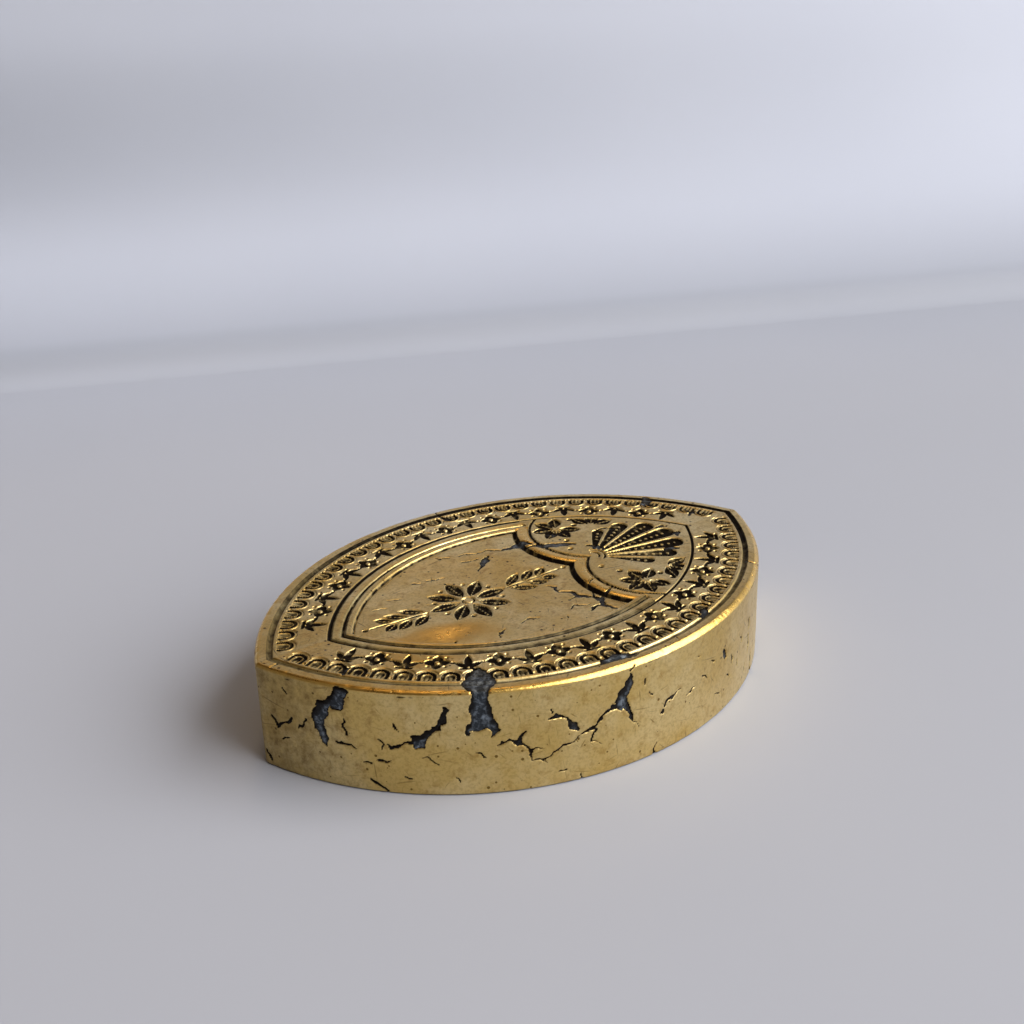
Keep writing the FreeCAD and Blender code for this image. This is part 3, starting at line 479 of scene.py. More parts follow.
def face_relief(x, y):
    """How far a point of the face lies below the rim: broad forms, the engraving on them, the grime
    and painted shade it holds, and how far handling has polished it, which in the hollow of the
    field is partly a painted highlight."""
    side = np.abs(y) + ARC_OFFSET
    offset = ARC_RADIUS - np.hypot(x, side)
    turn = np.arctan2(x, side)
    lobe = np.hypot(x - LOBE_X, np.abs(y) - LOBE_OFFSET)
    corner = LOBE_OFFSET + math.sqrt(LOBE_INNER ** 2 - (LOBE_X - FRAME_END_X) ** 2)
    left = x < LOBE_X
    shield = np.where(np.abs(y) > corner, x < FRAME_END_X, left & (lobe > LOBE_INNER))

    crest, shoulder, floor = -BEAD_CREST, -BEAD_CREST - BEAD_SHOULDER, -FIELD_DEPTH
    form = np.zeros_like(x)
    outer = half_round(offset, *FRAME_BEAD, shoulder, crest, shoulder)
    inner = half_round(offset, *FIELD_BEAD, shoulder, crest, floor)
    dish = np.clip(1 - ((x - DISH_X) ** 2 + y ** 2) / DISH_RADIUS ** 2, 0, 1)
    form = np.where(shield & (offset > FRAME_BEAD[0] - SLOPE), outer, form)
    form = np.where(shield & (offset > FINE_GROOVE[0]), shoulder, form)
    form = np.where(shield & (offset > FIELD_BEAD[0]), inner, form)
    form = np.where(shield & (offset > FIELD_AT), floor - DISH_DEPTH * dish, form)
    bead = half_round(-lobe, -LOBE_RADIUS, LOBE_BEAD, floor, -LOBE_CREST, -LOBE_CREST - BEAD_SHOULDER)
    # The lobes' bead runs on to the crest of the frame's inner one
    on_bead = left & (lobe > LOBE_INNER) & (lobe < LOBE_RADIUS) & (offset > FIELD_BEAD[0] + 0.55)
    form = np.where(on_bead, np.where(offset < FIELD_AT, np.maximum(form, bead), bead), form)

    scoop_x, scoop_y, half_length, half_width, depth = SCOOP
    scoop = ((x - scoop_x) / half_length) ** 2 + ((y - scoop_y) / half_width) ** 2
    form = form - depth * (1 - smooth(0.0, 1.0, np.sqrt(scoop))) * shield * (offset > FIELD_AT)

    rim = groove(offset, *RIM_GROOVE)
    step = groove(offset, *FRAME_GROOVE)
    fine = groove(offset, *FINE_GROOVE, 0.08) * shield
    behind = groove(lobe, LOBE_INNER - HEAD_GROOVE, HEAD_GROOVE) * left * (offset > FRAME_BEAD[0])
    crease = np.exp(-((offset - FIELD_AT) / 0.16) ** 2) * shield * (lobe > LOBE_RADIUS)
    foot = groove(lobe, LOBE_RADIUS - 0.05, LOBE_GROOVE, 0.1) * left * (offset > FIELD_AT)
    arches, arch_dirt_and_shade = (value * (offset < ARCADE_END) for value in arcade_cut(turn, offset))
    border = running_ornament(turn, offset) * (np.abs(offset - ORNAMENT_MIDDLE) < ORNAMENT_REACH)
    drawn = np.where(shield, np.maximum(rosette_cut(x, y), sprig_cut(x, y)), head_cut(x, y))
    drawn = drawn * (offset > np.where(shield, FIELD_AT, FRAME_BEAD[0] + 0.4))
    engraved = DEEPER * np.maximum(border, drawn)
    cut = most(
        CUT * rim, CUT * step, FINE_DEPTH * fine, HEAD_DEPTH * behind, CREASE_DEPTH * crease,
        LOBE_DEPTH * foot, arches, engraved,
    )

    lips = smooth(0.005, 0.03, cut) * (1 - smooth(0.06, 0.1, cut))
    # The hollow of the field gets a richer gold: partly a worn patch, partly a painted highlight.
    rubbed_and_glow = (1 - smooth(0.6, 1.5, scoop)) * shield
    polish_and_glow = most(0.5 * lips, 0.8 * rubbed_and_glow, on_bead)
    under = groove(lobe, LOBE_RADIUS - 0.32, LOBE_GROOVE + 0.25, 0.1) * left * (offset > FIELD_AT)
    dirt_and_shade = most(
        smooth(0.03, 0.14, engraved), smooth(0.05, 0.4, behind), smooth(0.3, 0.7, fine), arch_dirt_and_shade,
        crease, under,
    ) * (0.85 + 0.3 * lumps(x, y, 0.7, 5))
    # Painted shade: a dark band on the frame's outer bead on its -Y side, where the bead faces the camera.
    # Thin dark lines also run where the frame's beads start to rise.
    flank = np.minimum(np.abs(offset - FRAME_BEAD[0] - 0.12), np.abs(offset - FIELD_BEAD[0] - 0.12))
    shaded = np.where(y < 0, 1 - smooth(0.35, 0.75, flank), 0) * (offset < FIELD_BEAD[0])
    # The rim groove is darker towards +X and +Y.
    wide = groove(offset, RIM_GROOVE[0] - 0.2, RIM_GROOVE[1] + 0.15, 0.1)
    held = 0.68 + 0.14 * smooth(-0.2, 0.5, x / LENGTH + y / WIDTH)
    specks = smooth(0.35, 0.8, lumps(x, y, 0.5, 9)) * (offset < RIM_GROOVE[0])
    dirt_and_shade = most(
        dirt_and_shade, 0.7 * shield * (1 - smooth(0.1, 0.3, flank)), 0.6 * shield * shaded,
        0.9 * smooth(0.0, 0.3, step), held * wide + wide * (1 - wide), 0.5 * specks,
    )
    return -form, cut, np.clip(dirt_and_shade, 0, 1), polish_and_glow


# ---- Cracks and flakes ----

def crack_gap(x, y, cracks, seed):
    """Signed distance to the nearest crack's ragged edge, less than zero inside it."""
    wander_x = x + 0.3 * noise(x, y, 1.3, seed) + 0.17 * noise(x, y, 0.5, seed + 1)
    wander_y = y + 0.3 * noise(x, y, 1.3, seed + 2) + 0.17 * noise(x, y, 0.5, seed + 3)
    gap = np.full(x.shape, 9.0)
    for crack in cracks:
        low = np.array(crack).min(axis=0)[:2] - 3.0
        high = np.array(crack).max(axis=0)[:2] + 3.0
        near = np.flatnonzero((x > low[0]) & (x < high[0]) & (y > low[1]) & (y < high[1]))
        px, py = wander_x[near], wander_y[near]
        for (ax, ay, wide), (bx, by, narrow) in zip(crack, crack[1:]):
            dx, dy = bx - ax, by - ay
            share = np.clip(((px - ax) * dx + (py - ay) * dy) / (dx * dx + dy * dy), 0, 1)
            away = np.hypot(px - ax - share * dx, py - ay - share * dy)
            gap[near] = np.minimum(gap[near], away - (wide + (narrow - wide) * share) / 2)
    return gap


def crack_groove(gap):
    """Depth of the groove that runs along a crack and past the ends of its open part."""
    return CRACK_DEPTH * (1 - smooth(-0.02, 0.1, gap))


def opened(gap):
    """Less than zero where the skin is gone."""
    return gap + HOLE_FROM / 2


# ---- Sheets of the skin ----

class Surface:
    """One stretch of the skin: where a point given by two lengths lies, and what is on it."""

    def __init__(self, cracks, seed, side=0):
        self.cracks, self.seed, self.side = cracks, seed, side

    def gap(self, a, b):
        return crack_gap(a, b, self.cracks, self.seed)


class EdgeSurface(Surface):
    """Wall, edge and border of one side: a runs along the edge, b up the wall and over the face."""

    def place(self, a, b, sunk=0.0):
        turn = a / ARC_RADIUS
        offset, height, lean = section(b, turn)
        radius = ARC_RADIUS - offset
        relief = face_relief(*on_arc(radius, turn, self.side))
        form, cut, dirt_and_shade, polish_and_glow = (value * (b > EDGE_ROUND) for value in relief)
        seed = self.seed
        dents = 0.016 * (1 + lumps(a, b, 3.2, seed)) + 0.007 * (1 + lumps(a, b * 1.4, 0.9, seed + 4))
        worn = np.exp(-((b - 0.1) / 0.75) ** 2)
        dents += worn * 0.08 * smooth(0.1, 0.9, lumps(a, b * 0.5, 1.3, seed + 8))
        from_tip = (tip_turn(offset) - np.abs(turn)) * ARC_RADIUS
        crack = crack_groove(self.gap(a, b))
        sink = form + cut + dents * smooth(0, 1, from_tip) + crack + sunk
        radius = radius - (sink + corner_cut(from_tip)) * np.cos(lean)
        place = np.stack([
            radius * np.sin(turn),
            self.side * np.maximum(radius * np.cos(turn) - ARC_OFFSET, 0),
            height - sink * np.sin(lean),
        ], axis=1)
        # Painted shade: a broken dark line just under the rounded edge, and a painted contact shadow along
        # the foot of the wall.
        painted_edge_shade = np.exp(-((b + 0.75) / 0.16) ** 2) * smooth(0.0, 0.5, lumps(a, b, 1.6, seed + 6))
        painted_foot_shadow = 1 - smooth(0.05, FOOT_ROUND, b + HEIGHT)
        # Darker and browner towards the tip at -X.
        brown = (1 - smooth(3.0, 33.0, from_tip)) * (turn < 0) * (b < 0)
        dirt_and_shade = most(dirt_and_shade, smooth(0.03, 0.1, crack), 0.8 * painted_edge_shade, 0.8 * painted_foot_shadow, TIP_DARKER * brown)
        handled = np.maximum(np.exp(-((b - 0.05) / 0.6) ** 4), 0.3 * (b < 0))
        return place, dirt_and_shade, np.maximum(polish_and_glow, handled)


class PlanSurface(Surface):
    """The face seen in plan: a and b are x and y."""

    def place(self, a, b, sunk=0.0):
        form, cut, dirt_and_shade, polish_and_glow = face_relief(a, b)
        dents = 0.014 * (1 + lumps(a, b, 3.4, self.seed)) + 0.006 * (1 + lumps(a, b, 0.9, self.seed + 4))
        crack = crack_groove(self.gap(a, b))
        place = np.stack([a, b, HEIGHT - form - cut - dents - crack - sunk], axis=1)
        return place, np.maximum(dirt_and_shade, smooth(0.03, 0.1, crack)), polish_and_glow


def snapped(surface, a, b, cell, fixed):
    """Move points that lie close to a flake's edge onto it."""
    for _ in range(2):
        gap = opened(surface.gap(a, b))
        step = 0.02
        slope_a = (opened(surface.gap(a + step, b)) - gap) / step
        slope_b = (opened(surface.gap(a, b + step)) - gap) / step
        steep = np.maximum(slope_a ** 2 + slope_b ** 2, 0.3)
        move = np.where((np.abs(gap) < 0.5 * cell) & ~fixed, gap / steep, 0)
        move = np.clip(move, -cell * 0.5, cell * 0.5)
        a, b = a - move * slope_a, b - move * slope_b
    return a, b


def grid(columns, rows):
    """A flat square grid as a bmesh, the two parameters of its points, from -1 to 1, and whether
    they lie on its border."""
    bm = bmesh.new()
    bmesh.ops.create_grid(bm, x_segments=columns, y_segments=rows, size=1.0)
    bm.verts.ensure_lookup_table()
    flat = np.array([vert.co[:2] for vert in bm.verts])
    return bm, flat[:, 0], flat[:, 1], np.abs(flat).max(axis=1) > 1 - 1e-6


def skin_sheet(name, bm, surface, a, b, cell, fixed, bottom=False):
    """Carve a grid into one sheet of the skin, open it at the flakes and turn its edges in."""
    a, b = snapped(surface, a, b, cell, fixed)
    place, dirt_and_shade, rubbed_and_glow = surface.place(a, b)
    gap = opened(surface.gap(a, b))
    point = bm.verts.layers.int.new("point")
    residue_and_shade = bm.verts.layers.float.new("residue_and_shade")
    polish_and_glow = bm.verts.layers.float.new("polish_and_glow")
    plan = bm.loops.layers.uv.new("skin")
    for index, vert in enumerate(bm.verts):
        vert.co = place[index] * MM
        vert[residue_and_shade], vert[polish_and_glow] = dirt_and_shade[index], rubbed_and_glow[index]
        vert[point] = index
    for face in bm.faces:
        for loop in face.loops:
            index = loop.vert[point]
            loop[plan].uv = (a[index] * MM, b[index] * MM)
    gone = [f for f in bm.faces if sum(gap[v[point]] for v in f.verts) < -0.01 * cell]
    bmesh.ops.delete(bm, geom=gone, context="FACES")
    bmesh.ops.remove_doubles(bm, verts=[v for v in bm.verts if fixed[v[point]]], dist=1e-7)
    rim = [
        e for e in bm.edges
        if e.is_boundary and all(abs(gap[v[point]]) < cell and not fixed[v[point]] for v in e.verts)
    ]
    # Dark along the flakes' edges and on the turned-in lip: dirt and painted shade where the broken skin
    # stands over the bare metal.
    for edge in rim:
        for vert in edge.verts:
            vert[residue_and_shade] = max(vert[residue_and_shade], 0.6)
    made = bmesh.ops.extrude_edge_only(bm, edges=rim)["geom"]
    lip = [g for g in made if isinstance(g, bmesh.types.BMVert)]
    if lip:
        index = [vert[point] for vert in lip]
        deep = surface.place(a[index], b[index], SKIN - 0.02)[0]
        for vert, low in zip(lip, deep):
            vert.co = low * MM
            vert[residue_and_shade] = 1.0
    if bottom:
        turn_in_foot(bm)
    bm.verts.layers.int.remove(point)
    return finish_piece(name, bm, "gilt_shell")


def turn_in_foot(bm):
    """Turn the wall's lowest edge in under the body by the thickness of the skin."""
    foot = [e for e in bm.edges if e.is_boundary and all(v.co.z < 1e-6 for v in e.verts)]
    made = bmesh.ops.extrude_edge_only(bm, edges=foot)["geom"]
    for vert in (g for g in made if isinstance(g, bmesh.types.BMVert)):
        vert.co.xy *= 1 - SKIN * MM / vert.co.xy.length


def new_object(name, data):
    made = bpy.data.objects.new(name, data)
    bpy.context.scene.collection.objects.link(made)
    return made


def to_object(name, bm):
    """Make a smooth-shaded object of a bmesh."""
    mesh = bpy.data.meshes.new(name)
    for face in bm.faces:
        face.smooth = True
    bm.to_mesh(mesh)
    bm.free()
    return new_object(name, mesh)


def finish_piece(name, bm, node_name):
    """A piece on the root body that stands for one of the solids."""
    piece = to_object(name, bm)
    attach(piece, "root")
    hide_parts(node_name)
    return piece


def edge_sheet(name, stretch, low, high, squares, bottom=False):
    """One side's stretch of the outer skin, between two ways along its section."""
    bm, u, v, fixed = grid(*squares)
    surface = EdgeSurface(*stretch)
    way = low + (high - low) * (v + 1) / 2
    along = surface.side * -u
    turn = along * tip_turn(section(way, along * tip_turn(0))[0])
    cell = max(2 * tip_turn(0) * ARC_RADIUS / squares[0], (high - low) / squares[1])
    return skin_sheet(name, bm, surface, turn * ARC_RADIUS, way, cell, fixed, bottom=bottom)


def frame_sheet(name):
    """The ring of mouldings round the field, both sides in one sheet."""
    bm, u, v, fixed = grid(*FRAME_GRID)
    offset = BORDER_TO_FRAME + (FRAME_TO_FIELD - BORDER_TO_FRAME) * (v + 1) / 2
    lap = (u + 1) * 2
    side = np.where(lap < 2, -1.0, 1.0)
    turn = np.where(lap < 2, lap - 1, 3 - lap) * tip_turn(offset)
    x, y = on_arc(ARC_RADIUS - offset, turn, side)
    cell = 2 * (ARC_RADIUS - BORDER_TO_FRAME) * 2 / FRAME_GRID[0]
    return skin_sheet(name, bm, PlanSurface(*FIELD), x, y, cell, fixed)


def field_sheet(name):
    """Everything inside the mouldings."""
    bm, u, v, fixed = grid(*FIELD_GRID)
    radius = ARC_RADIUS - FRAME_TO_FIELD
    reach = math.sqrt(radius ** 2 - ARC_OFFSET ** 2)
    x = reach * np.sin(u * math.pi / 2) * 0.35 + reach * u * 0.65
    y = v * (np.sqrt(np.maximum(radius ** 2 - x ** 2, ARC_OFFSET ** 2)) - ARC_OFFSET)
    return skin_sheet(name, bm, PlanSurface(*FIELD), x, y, 2 * reach / FIELD_GRID[0], fixed)


# ---- Dark body ----

def core_side(cracks, seed, side):
    """Half of the dark body, from the middle of its underside up the wall to the long axis."""
    rows = sum(CORE_ROWS)
    bm, u, v, _ = grid(CORE_COLUMNS, rows)
    full = HEIGHT - SKIN
    way = np.interp(
        np.round((v + 1) / 2 * rows), np.cumsum((0,) + CORE_ROWS),
        [-full - WIDTH / 2 + SKIN, -full, 0.0, CORE_BORDER, WIDTH / 2 - SKIN - 0.001],
    )
    under, top = way < -full, way > 0
    offset = SKIN + np.where(under, -full - way, np.maximum(way, 0))
    turn = u * tip_turn(offset)
    radius = ARC_RADIUS - offset
    x, y = on_arc(radius, turn, side)
    form, cut = face_relief(x, y)[:2]
    along = turn * ARC_RADIUS
    gap = crack_gap(along, np.where(top, way + SKIN, way), cracks, seed)
    gap = np.where(way > BORDER_TO_FRAME, crack_gap(x, y, *FIELD), gap)
    bare = 1 - smooth(0.1, 0.5, gap)
    rough = lumps(along, way * 1.2, 1.7, seed + 20)
    sink = SKIN * (1 - bare) + (FLAKE_SINK + 0.11 * rough) * bare
    low = np.where(under, 0.0, way + full)
    height = np.where(top, HEIGHT - (form + cut * bare * 0.8 + sink), low)
    out = np.where(top | under, 0, SKIN - sink)
    radius = radius + out * smooth(-full - 0.01, -full + 0.3, way)
    place = np.stack([*on_arc(radius, turn, side), height], axis=1)
    place[np.abs(u) > 1 - 1e-6, 1] = 0.0
    residue_and_shade = bm.verts.layers.float.new("residue_and_shade")
    # Dark along the flakes' edges: dirt and painted shade under the broken skin's edge.
    dirt_and_shade = smooth(-0.55, -0.1, gap)
    for index, vert in enumerate(bm.verts):
        vert.co = place[index] * MM
        vert[residue_and_shade] = dirt_and_shade[index]
    return bm


def dark_body():
    """The solid body, bare where the skin has flaked away, closed along the long axis."""
    bm = core_side(*FRONT)
    other = core_side(*BACK)
    mesh = bpy.data.meshes.new("half")
    other.to_mesh(mesh)
    other.free()
    bm.from_mesh(mesh)
    bpy.data.meshes.remove(mesh)
    bmesh.ops.remove_doubles(bm, verts=bm.verts[:], dist=2e-6)
    bmesh.ops.recalc_face_normals(bm, faces=bm.faces[:])
    return finish_piece("core_body", bm, "dark_core")


# ---- Finishes ----

# Settings of the nodes that map a value to a range softly, and of those that mix two colours
SOFT = {"interpolation_type": "SMOOTHSTEP"}
RGBA = {"data_type": "RGBA"}


def colour(code):
    """Linear colour of an sRGB hex value."""
    parts = [int(code[i:i + 2], 16) / 255 for i in (1, 3, 5)]
    return tuple(p / 12.92 if p <= 0.04045 else ((p + 0.055) / 1.055) ** 2.4 for p in parts) + (1.0,)


def per(size):
    """Texture scale for a pattern of the given size in millimetres."""
    return 1000 / size


def add_node(tree, kind, inputs, **settings):
    """Add a node with its settings. Inputs are values, sockets to link, or nodes to link by their
    first output in use."""
    made = tree.nodes.new("ShaderNode" + kind)
    for key, value in settings.items():
        setattr(made, key, value)
    for socket, value in inputs.items():
        if isinstance(value, bpy.types.Node):
            value = next(output for output in value.outputs if output.enabled)
        if isinstance(value, bpy.types.NodeSocket):
            tree.links.new(value, made.inputs[socket])
        else:
            made.inputs[socket].default_value = value
    return made


def new_material(name):
    material = bpy.data.materials.new(name)
    material.use_nodes = True
    material.node_tree.nodes.clear()
    return material, material.node_tree


def pits(tree, place):
    """Small round pits: one in a few cells, each of its own size."""
    cells = add_node(tree, "TexVoronoi", {"Vector": place, "Scale": per(0.95)})
    chosen = add_node(tree, "SeparateColor", {"Color": cells.outputs["Color"]})
    size = add_node(tree, "MapRange", {"Value": chosen, "From Min": 0.5, "From Max": 1.0, "To Max": 0.25})
    inside = add_node(tree, "Math", {0: size, 1: cells}, operation="SUBTRACT")
    return add_node(tree, "MapRange", {"Value": inside, "From Min": 0.0, "From Max": 0.06}, **SOFT)


def scratches(tree, plan):
    """Short hairlines in five directions."""
    together = None
    for turn, length, shift in (
        (0.2, 6, 0), (1.0, 4, 3.1), (1.7, 5, 7.7), (2.3, 3.5, 5.2), (2.9, 8, 9.4),
    ):
        lie = add_node(tree, "Mapping", {
            "Vector": plan, "Location": (shift * MM, shift * MM, 0), "Rotation": (0, 0, turn),
            "Scale": (length * MM, 0.42 * MM, 1),
        }, vector_type="TEXTURE")
        streak = add_node(tree, "TexNoise", {"Vector": lie, "Scale": 1.0, "Detail": 1.0})
        thin = add_node(tree, "MapRange", {"Value": streak, "From Min": 0.7, "From Max": 0.8}, **SOFT)
        if together:
            thin = add_node(tree, "Math", {0: together, 1: thin}, operation="MAXIMUM")
        together = thin
    return together


def worn_gilt_brass():
    """Fire-gilt brass, handled for long: warm metal with a cloudy polished finish, specks, fine
    scratches, black wax and grime in the engraving, painted shade under the edge, at the foot, on
    the frame's outer bead, in the arches and along the flakes' edges, and a painted highlight in
    the field's hollow."""
    material, tree = new_material("worn_gilt_brass")
    place = add_node(tree, "TexCoord", {}).outputs["Object"]
    plan = add_node(tree, "UVMap", {}, uv_map="skin").outputs["UV"]
    clouds, mottle, grain = [
        add_node(tree, "TexNoise", {
            "Vector": place, "Scale": per(size), "Detail": detail, "Roughness": rough,
        }) for size, detail, rough in ((9, 5.0, 0.6), (1.3, 4.0, 0.65), (0.4, 2.0, 0.7))
    ]
    tone = add_node(tree, "MapRange", {"Value": clouds, "From Min": 0.35, "From Max": 0.65}, **SOFT)
    brass = add_node(tree, "Mix", {
        "Factor": tone, "A": colour("#CBB16F"), "B": colour("#DECC98"),
    }, **RGBA)
    sand = add_node(tree, "MapRange", {
        "Value": grain, "From Min": 0.45, "From Max": 0.65, "To Max": 0.34,
    }, **SOFT)
    speckled = add_node(tree, "Mix", {"Factor": sand, "A": brass, "B": colour("#8C7243")}, **RGBA)
    stain = add_node(tree, "MapRange", {
        "Value": mottle, "From Min": 0.5, "From Max": 0.72, "To Max": 0.48,
    }, **SOFT)
    stained = add_node(tree, "Mix", {"Factor": stain, "A": speckled, "B": colour("#86622F")}, **RGBA)
    marks = add_node(tree, "Math", {
        0: scratches(tree, plan), 1: 0.6, 2: pits(tree, place),
    }, operation="MULTIPLY_ADD", use_clamp=True)
    marked = add_node(tree, "Mix", {"Factor": marks, "A": stained, "B": colour("#3A2B18")}, **RGBA)

    # Handling has polished the edges and the crests of the beads to a richer gold; in the hollow of the
    # field this richer gold is partly a painted highlight
    rubbed_and_glow = add_node(tree, "Attribute", {}, attribute_name="polish_and_glow").outputs["Fac"]
    richer = add_node(tree, "Math", {0: rubbed_and_glow, 1: 0.85}, operation="MULTIPLY")
    gilded = add_node(tree, "Mix", {"Factor": richer, "A": marked, "B": colour("#DDB35C")}, **RGBA)

    # Wax and dirt where the mesh says that the skin is cut, and the painted shade that the same layer
    # carries
    held = add_node(tree, "Attribute", {}, attribute_name="residue_and_shade").outputs["Fac"]
    broken = add_node(tree, "Math", {0: mottle, 1: 0.35, 2: held}, operation="MULTIPLY_ADD")
    dirt_and_shade = add_node(tree, "MapRange", {"Value": broken, "From Min": 0.4, "From Max": 1.0}, **SOFT)
    finish = add_node(tree, "Mix", {"Factor": dirt_and_shade, "A": gilded, "B": colour("#0F0904")}, **RGBA)
    metal = add_node(tree, "MapRange", {"Value": dirt_and_shade, "To Min": 1.0, "To Max": 0.0})
    dull = add_node(tree, "MapRange", {
        "Value": mottle, "From Min": 0.3, "From Max": 0.7, "To Min": 0.32, "To Max": 0.44,
    })
    handled = add_node(tree, "Math", {0: rubbed_and_glow, 1: -0.09, 2: dull}, operation="MULTIPLY_ADD")
    rough = add_node(tree, "Math", {0: dirt_and_shade, 1: 0.3, 2: handled}, operation="MULTIPLY_ADD")
    gloss = add_node(tree, "MapRange", {"Value": dirt_and_shade, "To Min": 0.5, "To Max": 0.05})

    # Fine grain stands up, marks go in
    relief = add_node(tree, "Math", {0: marks, 1: -1.0, 2: grain}, operation="MULTIPLY_ADD")
    bump = add_node(tree, "Bump", {"Height": relief, "Strength": 0.5, "Distance": 0.05 * MM})
    shader = add_node(tree, "BsdfPrincipled", {
        "Base Color": finish, "Metallic": metal, "Roughness": rough, "Specular IOR Level": gloss,
        "Normal": bump,
    })
    add_node(tree, "OutputMaterial", {"Surface": shader})
    return material


def dark_cast_metal():
    """Bare cast base metal, oxidised slate grey: matt, lumpy, with paler tops on the lumps that are
    partly worn and partly a painted highlight, and black grime and painted shade along the edges
    of the flakes."""
    material, tree = new_material("dark_cast_metal")
    place = add_node(tree, "TexCoord", {}).outputs["Object"]
    lump = add_node(tree, "TexNoise", {
        "Vector": place, "Scale": per(0.8), "Detail": 5.0, "Roughness": 0.65,
    })
    # Paler on the lumps' tops: partly wear, partly a painted highlight.
    tone = add_node(tree, "MapRange", {"Value": lump, "From Min": 0.42, "From Max": 0.7}, **SOFT)
    slate = add_node(tree, "Mix", {
        "Factor": tone, "A": colour("#2C3136"), "B": colour("#828C96"),
    }, **RGBA)
    held = add_node(tree, "Attribute", {}, attribute_name="residue_and_shade").outputs["Fac"]
    edged = add_node(tree, "Mix", {"Factor": held, "A": slate, "B": colour("#14100C")}, **RGBA)
    bump = add_node(tree, "Bump", {"Height": lump, "Strength": 0.8, "Distance": 0.15 * MM})
    shader = add_node(tree, "BsdfPrincipled", {
        "Base Color": edged, "Metallic": 0.75, "Roughness": 0.42, "Normal": bump,
    })
    add_node(tree, "OutputMaterial", {"Surface": shader})
    return material


# ---- Pieces ----

pieces = [
    edge_sheet("gilt_wall_front", FRONT, -HEIGHT, WALL_TO_BORDER, WALL_GRID, bottom=True),
    edge_sheet("gilt_wall_back", BACK, -HEIGHT, WALL_TO_BORDER, WALL_GRID, bottom=True),
    edge_sheet("gilt_border_front", FRONT, WALL_TO_BORDER, BORDER_TO_FRAME, BORDER_GRID),
    edge_sheet("gilt_border_back", BACK, WALL_TO_BORDER, BORDER_TO_FRAME, BORDER_GRID),
    frame_sheet("gilt_frame"),
    field_sheet("gilt_field"),
]
brass = worn_gilt_brass()
for piece in pieces:
    piece.data.materials.append(brass)
core = dark_body()
core.data.materials.append(dark_cast_metal())


# ---- Stage, light and camera ----

CAMERA_TURN = 32.764      # degrees about Z, clockwise from looking along +Y
CAMERA_RISE = 23.366
CAMERA_ROLL = -1.905
CAMERA_AWAY = 189.6
CAMERA_SHIFT = (-0.96, 22.09)
CAMERA_LENS = 47.72       # on a 36 mm wide picture
FOLD_AT = 154.0           # the paper is folded up this far behind the block
FOLD_RADIUS = 9.0
FOLD_BEND = 78.0          # degrees from level
FOLD_TURN = 11.5          # degrees by which the fold is turned from square to the camera
ROOM_DIM = "#544735"
ROOM_BRIGHT = "#CCCED6"
PAPER_HEIGHT = 114.0
PAPER_REACH = 1900.0
PAPER_GRID = (40, 120)
FOLD_ROWS = [40, 60]      # first and last row of squares in the fold
# Painted light and shade of the paper: its brightness by height above the floor, in millimetres, towards
# its left and right end
LEFT_PAINTED_SHADE = (
    (0, 0.78), (4, 0.56), (9, 0.81), (22, 0.96), (31, 0.94), (42, 0.74), (54, 0.65), (66, 0.67), (75, 0.79),
    (84, 0.8), (100, 0.75),
)
RIGHT_PAINTED_SHADE = (
    (0, 0.6), (4, 0.53), (9, 0.69), (20, 0.82), (30, 0.91), (46, 0.92), (60, 0.88), (70, 0.89), (78, 0.9),
    (100, 0.75),
)
SHADE_REACH = 100.0
SHADE_ENDS = (-80, 170)   # from the left shade to the right one, along the fold


def rotation(degrees, axis="Z"):
    return Matrix.Rotation(math.radians(degrees), 4, axis)


def from_camera(right, away, up):
    """A place or way given as seen by the camera, in the frame's own axes."""
    return rotation(-CAMERA_TURN) @ Vector((right, away, up))


def paper_sweep():
    """Pale paper that lies flat and is folded up behind the block."""
    bm, u, v, _ = grid(*PAPER_GRID)
    rows = PAPER_GRID[1]
    row = (v + 1) / 2 * rows
    bend = math.radians(FOLD_BEND)
    turn = np.interp(row, FOLD_ROWS, [0, bend])
    past = np.interp(row, [FOLD_ROWS[1], rows], [0, PAPER_HEIGHT / math.sin(bend)])
    flat = np.interp(row, [0, FOLD_ROWS[0]], [-PAPER_REACH, FOLD_AT])
    back = flat + FOLD_RADIUS * np.sin(turn) + past * math.cos(bend)
    rise = FOLD_RADIUS * (1 - np.cos(turn)) + past * math.sin(bend)
    for index, vert in enumerate(bm.verts):
        vert.co = Vector((u[index] * PAPER_REACH, back[index], rise[index])) * MM
    bmesh.ops.transform(bm, matrix=rotation(FOLD_TURN - CAMERA_TURN), verts=bm.verts[:])
    sweep = to_object("paper_sweep", bm)
    sweep.data.materials.append(pale_paper())


def shade_ramp(tree, share, painted_shade):
    """Painted shade of the paper by height, as a smooth ramp."""
    ramp = add_node(tree, "ValToRGB", {"Fac": share})
    stops = ramp.color_ramp.elements
    ramp.color_ramp.interpolation = "B_SPLINE"
    for rise, _ in painted_shade[1:-1]:
        stops.new(rise / SHADE_REACH)
    for stop, (_, shade) in zip(stops, painted_shade):
        stop.color = (shade, shade, shade, 1.0)
    return ramp


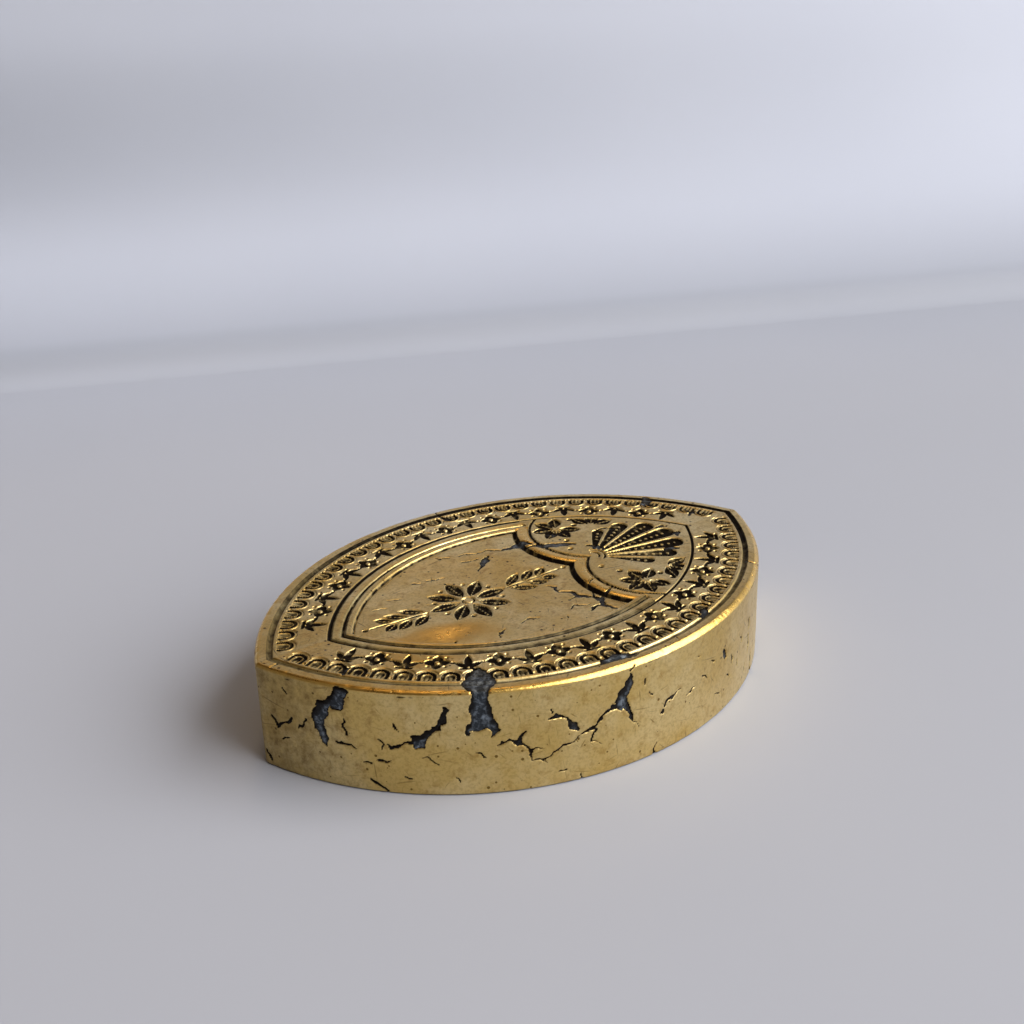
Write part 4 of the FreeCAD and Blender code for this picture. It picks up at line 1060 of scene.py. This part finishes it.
def pale_paper():
    """Smooth pale grey paper, a little cloudy, with the light and shade of soft ripples painted on
    where it stands up, and painted shade that changes from its left end to its right.
    """
    material, tree = new_material("pale_paper")
    place = add_node(tree, "TexCoord", {}).outputs["Object"]
    cloud = add_node(tree, "TexNoise", {"Vector": place, "Scale": per(120), "Detail": 2.0})
    paper = add_node(tree, "Mix", {
        "Factor": cloud, "A": colour("#BEC4D3"), "B": colour("#C8CDDA"),
    }, **RGBA)
    height = add_node(tree, "SeparateXYZ", {"Vector": place}).outputs["Z"]
    share = add_node(tree, "MapRange", {"Value": height, "From Max": SHADE_REACH * MM})
    sideways = add_node(tree, "VectorMath", {
        0: place, 1: rotation(FOLD_TURN - CAMERA_TURN) @ Vector((1, 0, 0)),
    }, operation="DOT_PRODUCT")
    right = add_node(tree, "MapRange", {
        "Value": sideways, "From Min": SHADE_ENDS[0] * MM, "From Max": SHADE_ENDS[1] * MM,
    })
    # Painted light and shade by height, changing from the left end to the right
    painted_shade = add_node(tree, "Mix", {
        "Factor": right,
        "A": shade_ramp(tree, share, LEFT_PAINTED_SHADE), "B": shade_ramp(tree, share, RIGHT_PAINTED_SHADE),
    }, **RGBA)
    shaded_paper = add_node(tree, "Mix", {"Factor": 1.0, "A": paper, "B": painted_shade}, **RGBA, blend_type="MULTIPLY")
    shader = add_node(tree, "BsdfPrincipled", {"Base Color": shaded_paper, "Roughness": 0.75})
    add_node(tree, "OutputMaterial", {"Surface": shader})
    return material


def soft_light(name, place, size, power, tint):
    lamp = bpy.data.lights.new(name, "AREA")
    lamp.shape, lamp.size, lamp.size_y = "RECTANGLE", size[0], size[1]
    lamp.energy, lamp.color = power, colour(tint)[:3]
    holder = new_object(name, lamp)
    holder.location = place
    holder.rotation_euler = (-place).to_track_quat("-Z", "Y").to_euler()


def room():
    """Dim and warm on the left and behind the camera, pale and bright on the right."""
    world = bpy.data.worlds.new("room")
    world.use_nodes = True
    tree = world.node_tree
    tree.nodes.clear()
    way = add_node(tree, "TexCoord", {}).outputs["Generated"]
    bright = from_camera(0.93, -0.3, 0.2).normalized()
    facing = add_node(tree, "VectorMath", {0: way, 1: bright}, operation="DOT_PRODUCT")
    share = add_node(tree, "MapRange", {"Value": facing, "From Min": 0.1, "From Max": 1.0}, **SOFT)
    sky = add_node(tree, "Mix", {
        "Factor": share, "A": colour(ROOM_DIM), "B": colour(ROOM_BRIGHT),
    }, **RGBA)
    glow = add_node(tree, "Background", {"Color": sky, "Strength": 1.0})
    add_node(tree, "OutputWorld", {"Surface": glow})
    bpy.context.scene.world = world


def camera():
    lens = bpy.data.cameras.new("camera")
    lens.lens, lens.sensor_width = CAMERA_LENS, 36.0
    lens.clip_start, lens.clip_end = 0.01, 20.0
    holder = new_object("camera", lens)
    aim = rotation(-CAMERA_TURN) @ rotation(90 - CAMERA_RISE, "X")
    place = aim @ Vector((*CAMERA_SHIFT, CAMERA_AWAY)) * MM
    holder.matrix_world = Matrix.Translation(place) @ aim @ rotation(CAMERA_ROLL)
    bpy.context.scene.camera = holder


paper_sweep()
soft_light("window", from_camera(0.77, -0.23, 0.6), (1.15, 0.9), 18.6, "#FFFCF8")
soft_light("lamp", from_camera(-0.02, 0.5, 0.92), (0.16, 0.6), 1.15, "#FFDAAC")
soft_light("near_lamp", from_camera(-0.2, -0.3, 0.85), (0.32, 0.18), 0.42, "#FFD49C")
room()
camera()
bpy.context.scene.view_settings.view_transform = "Standard"
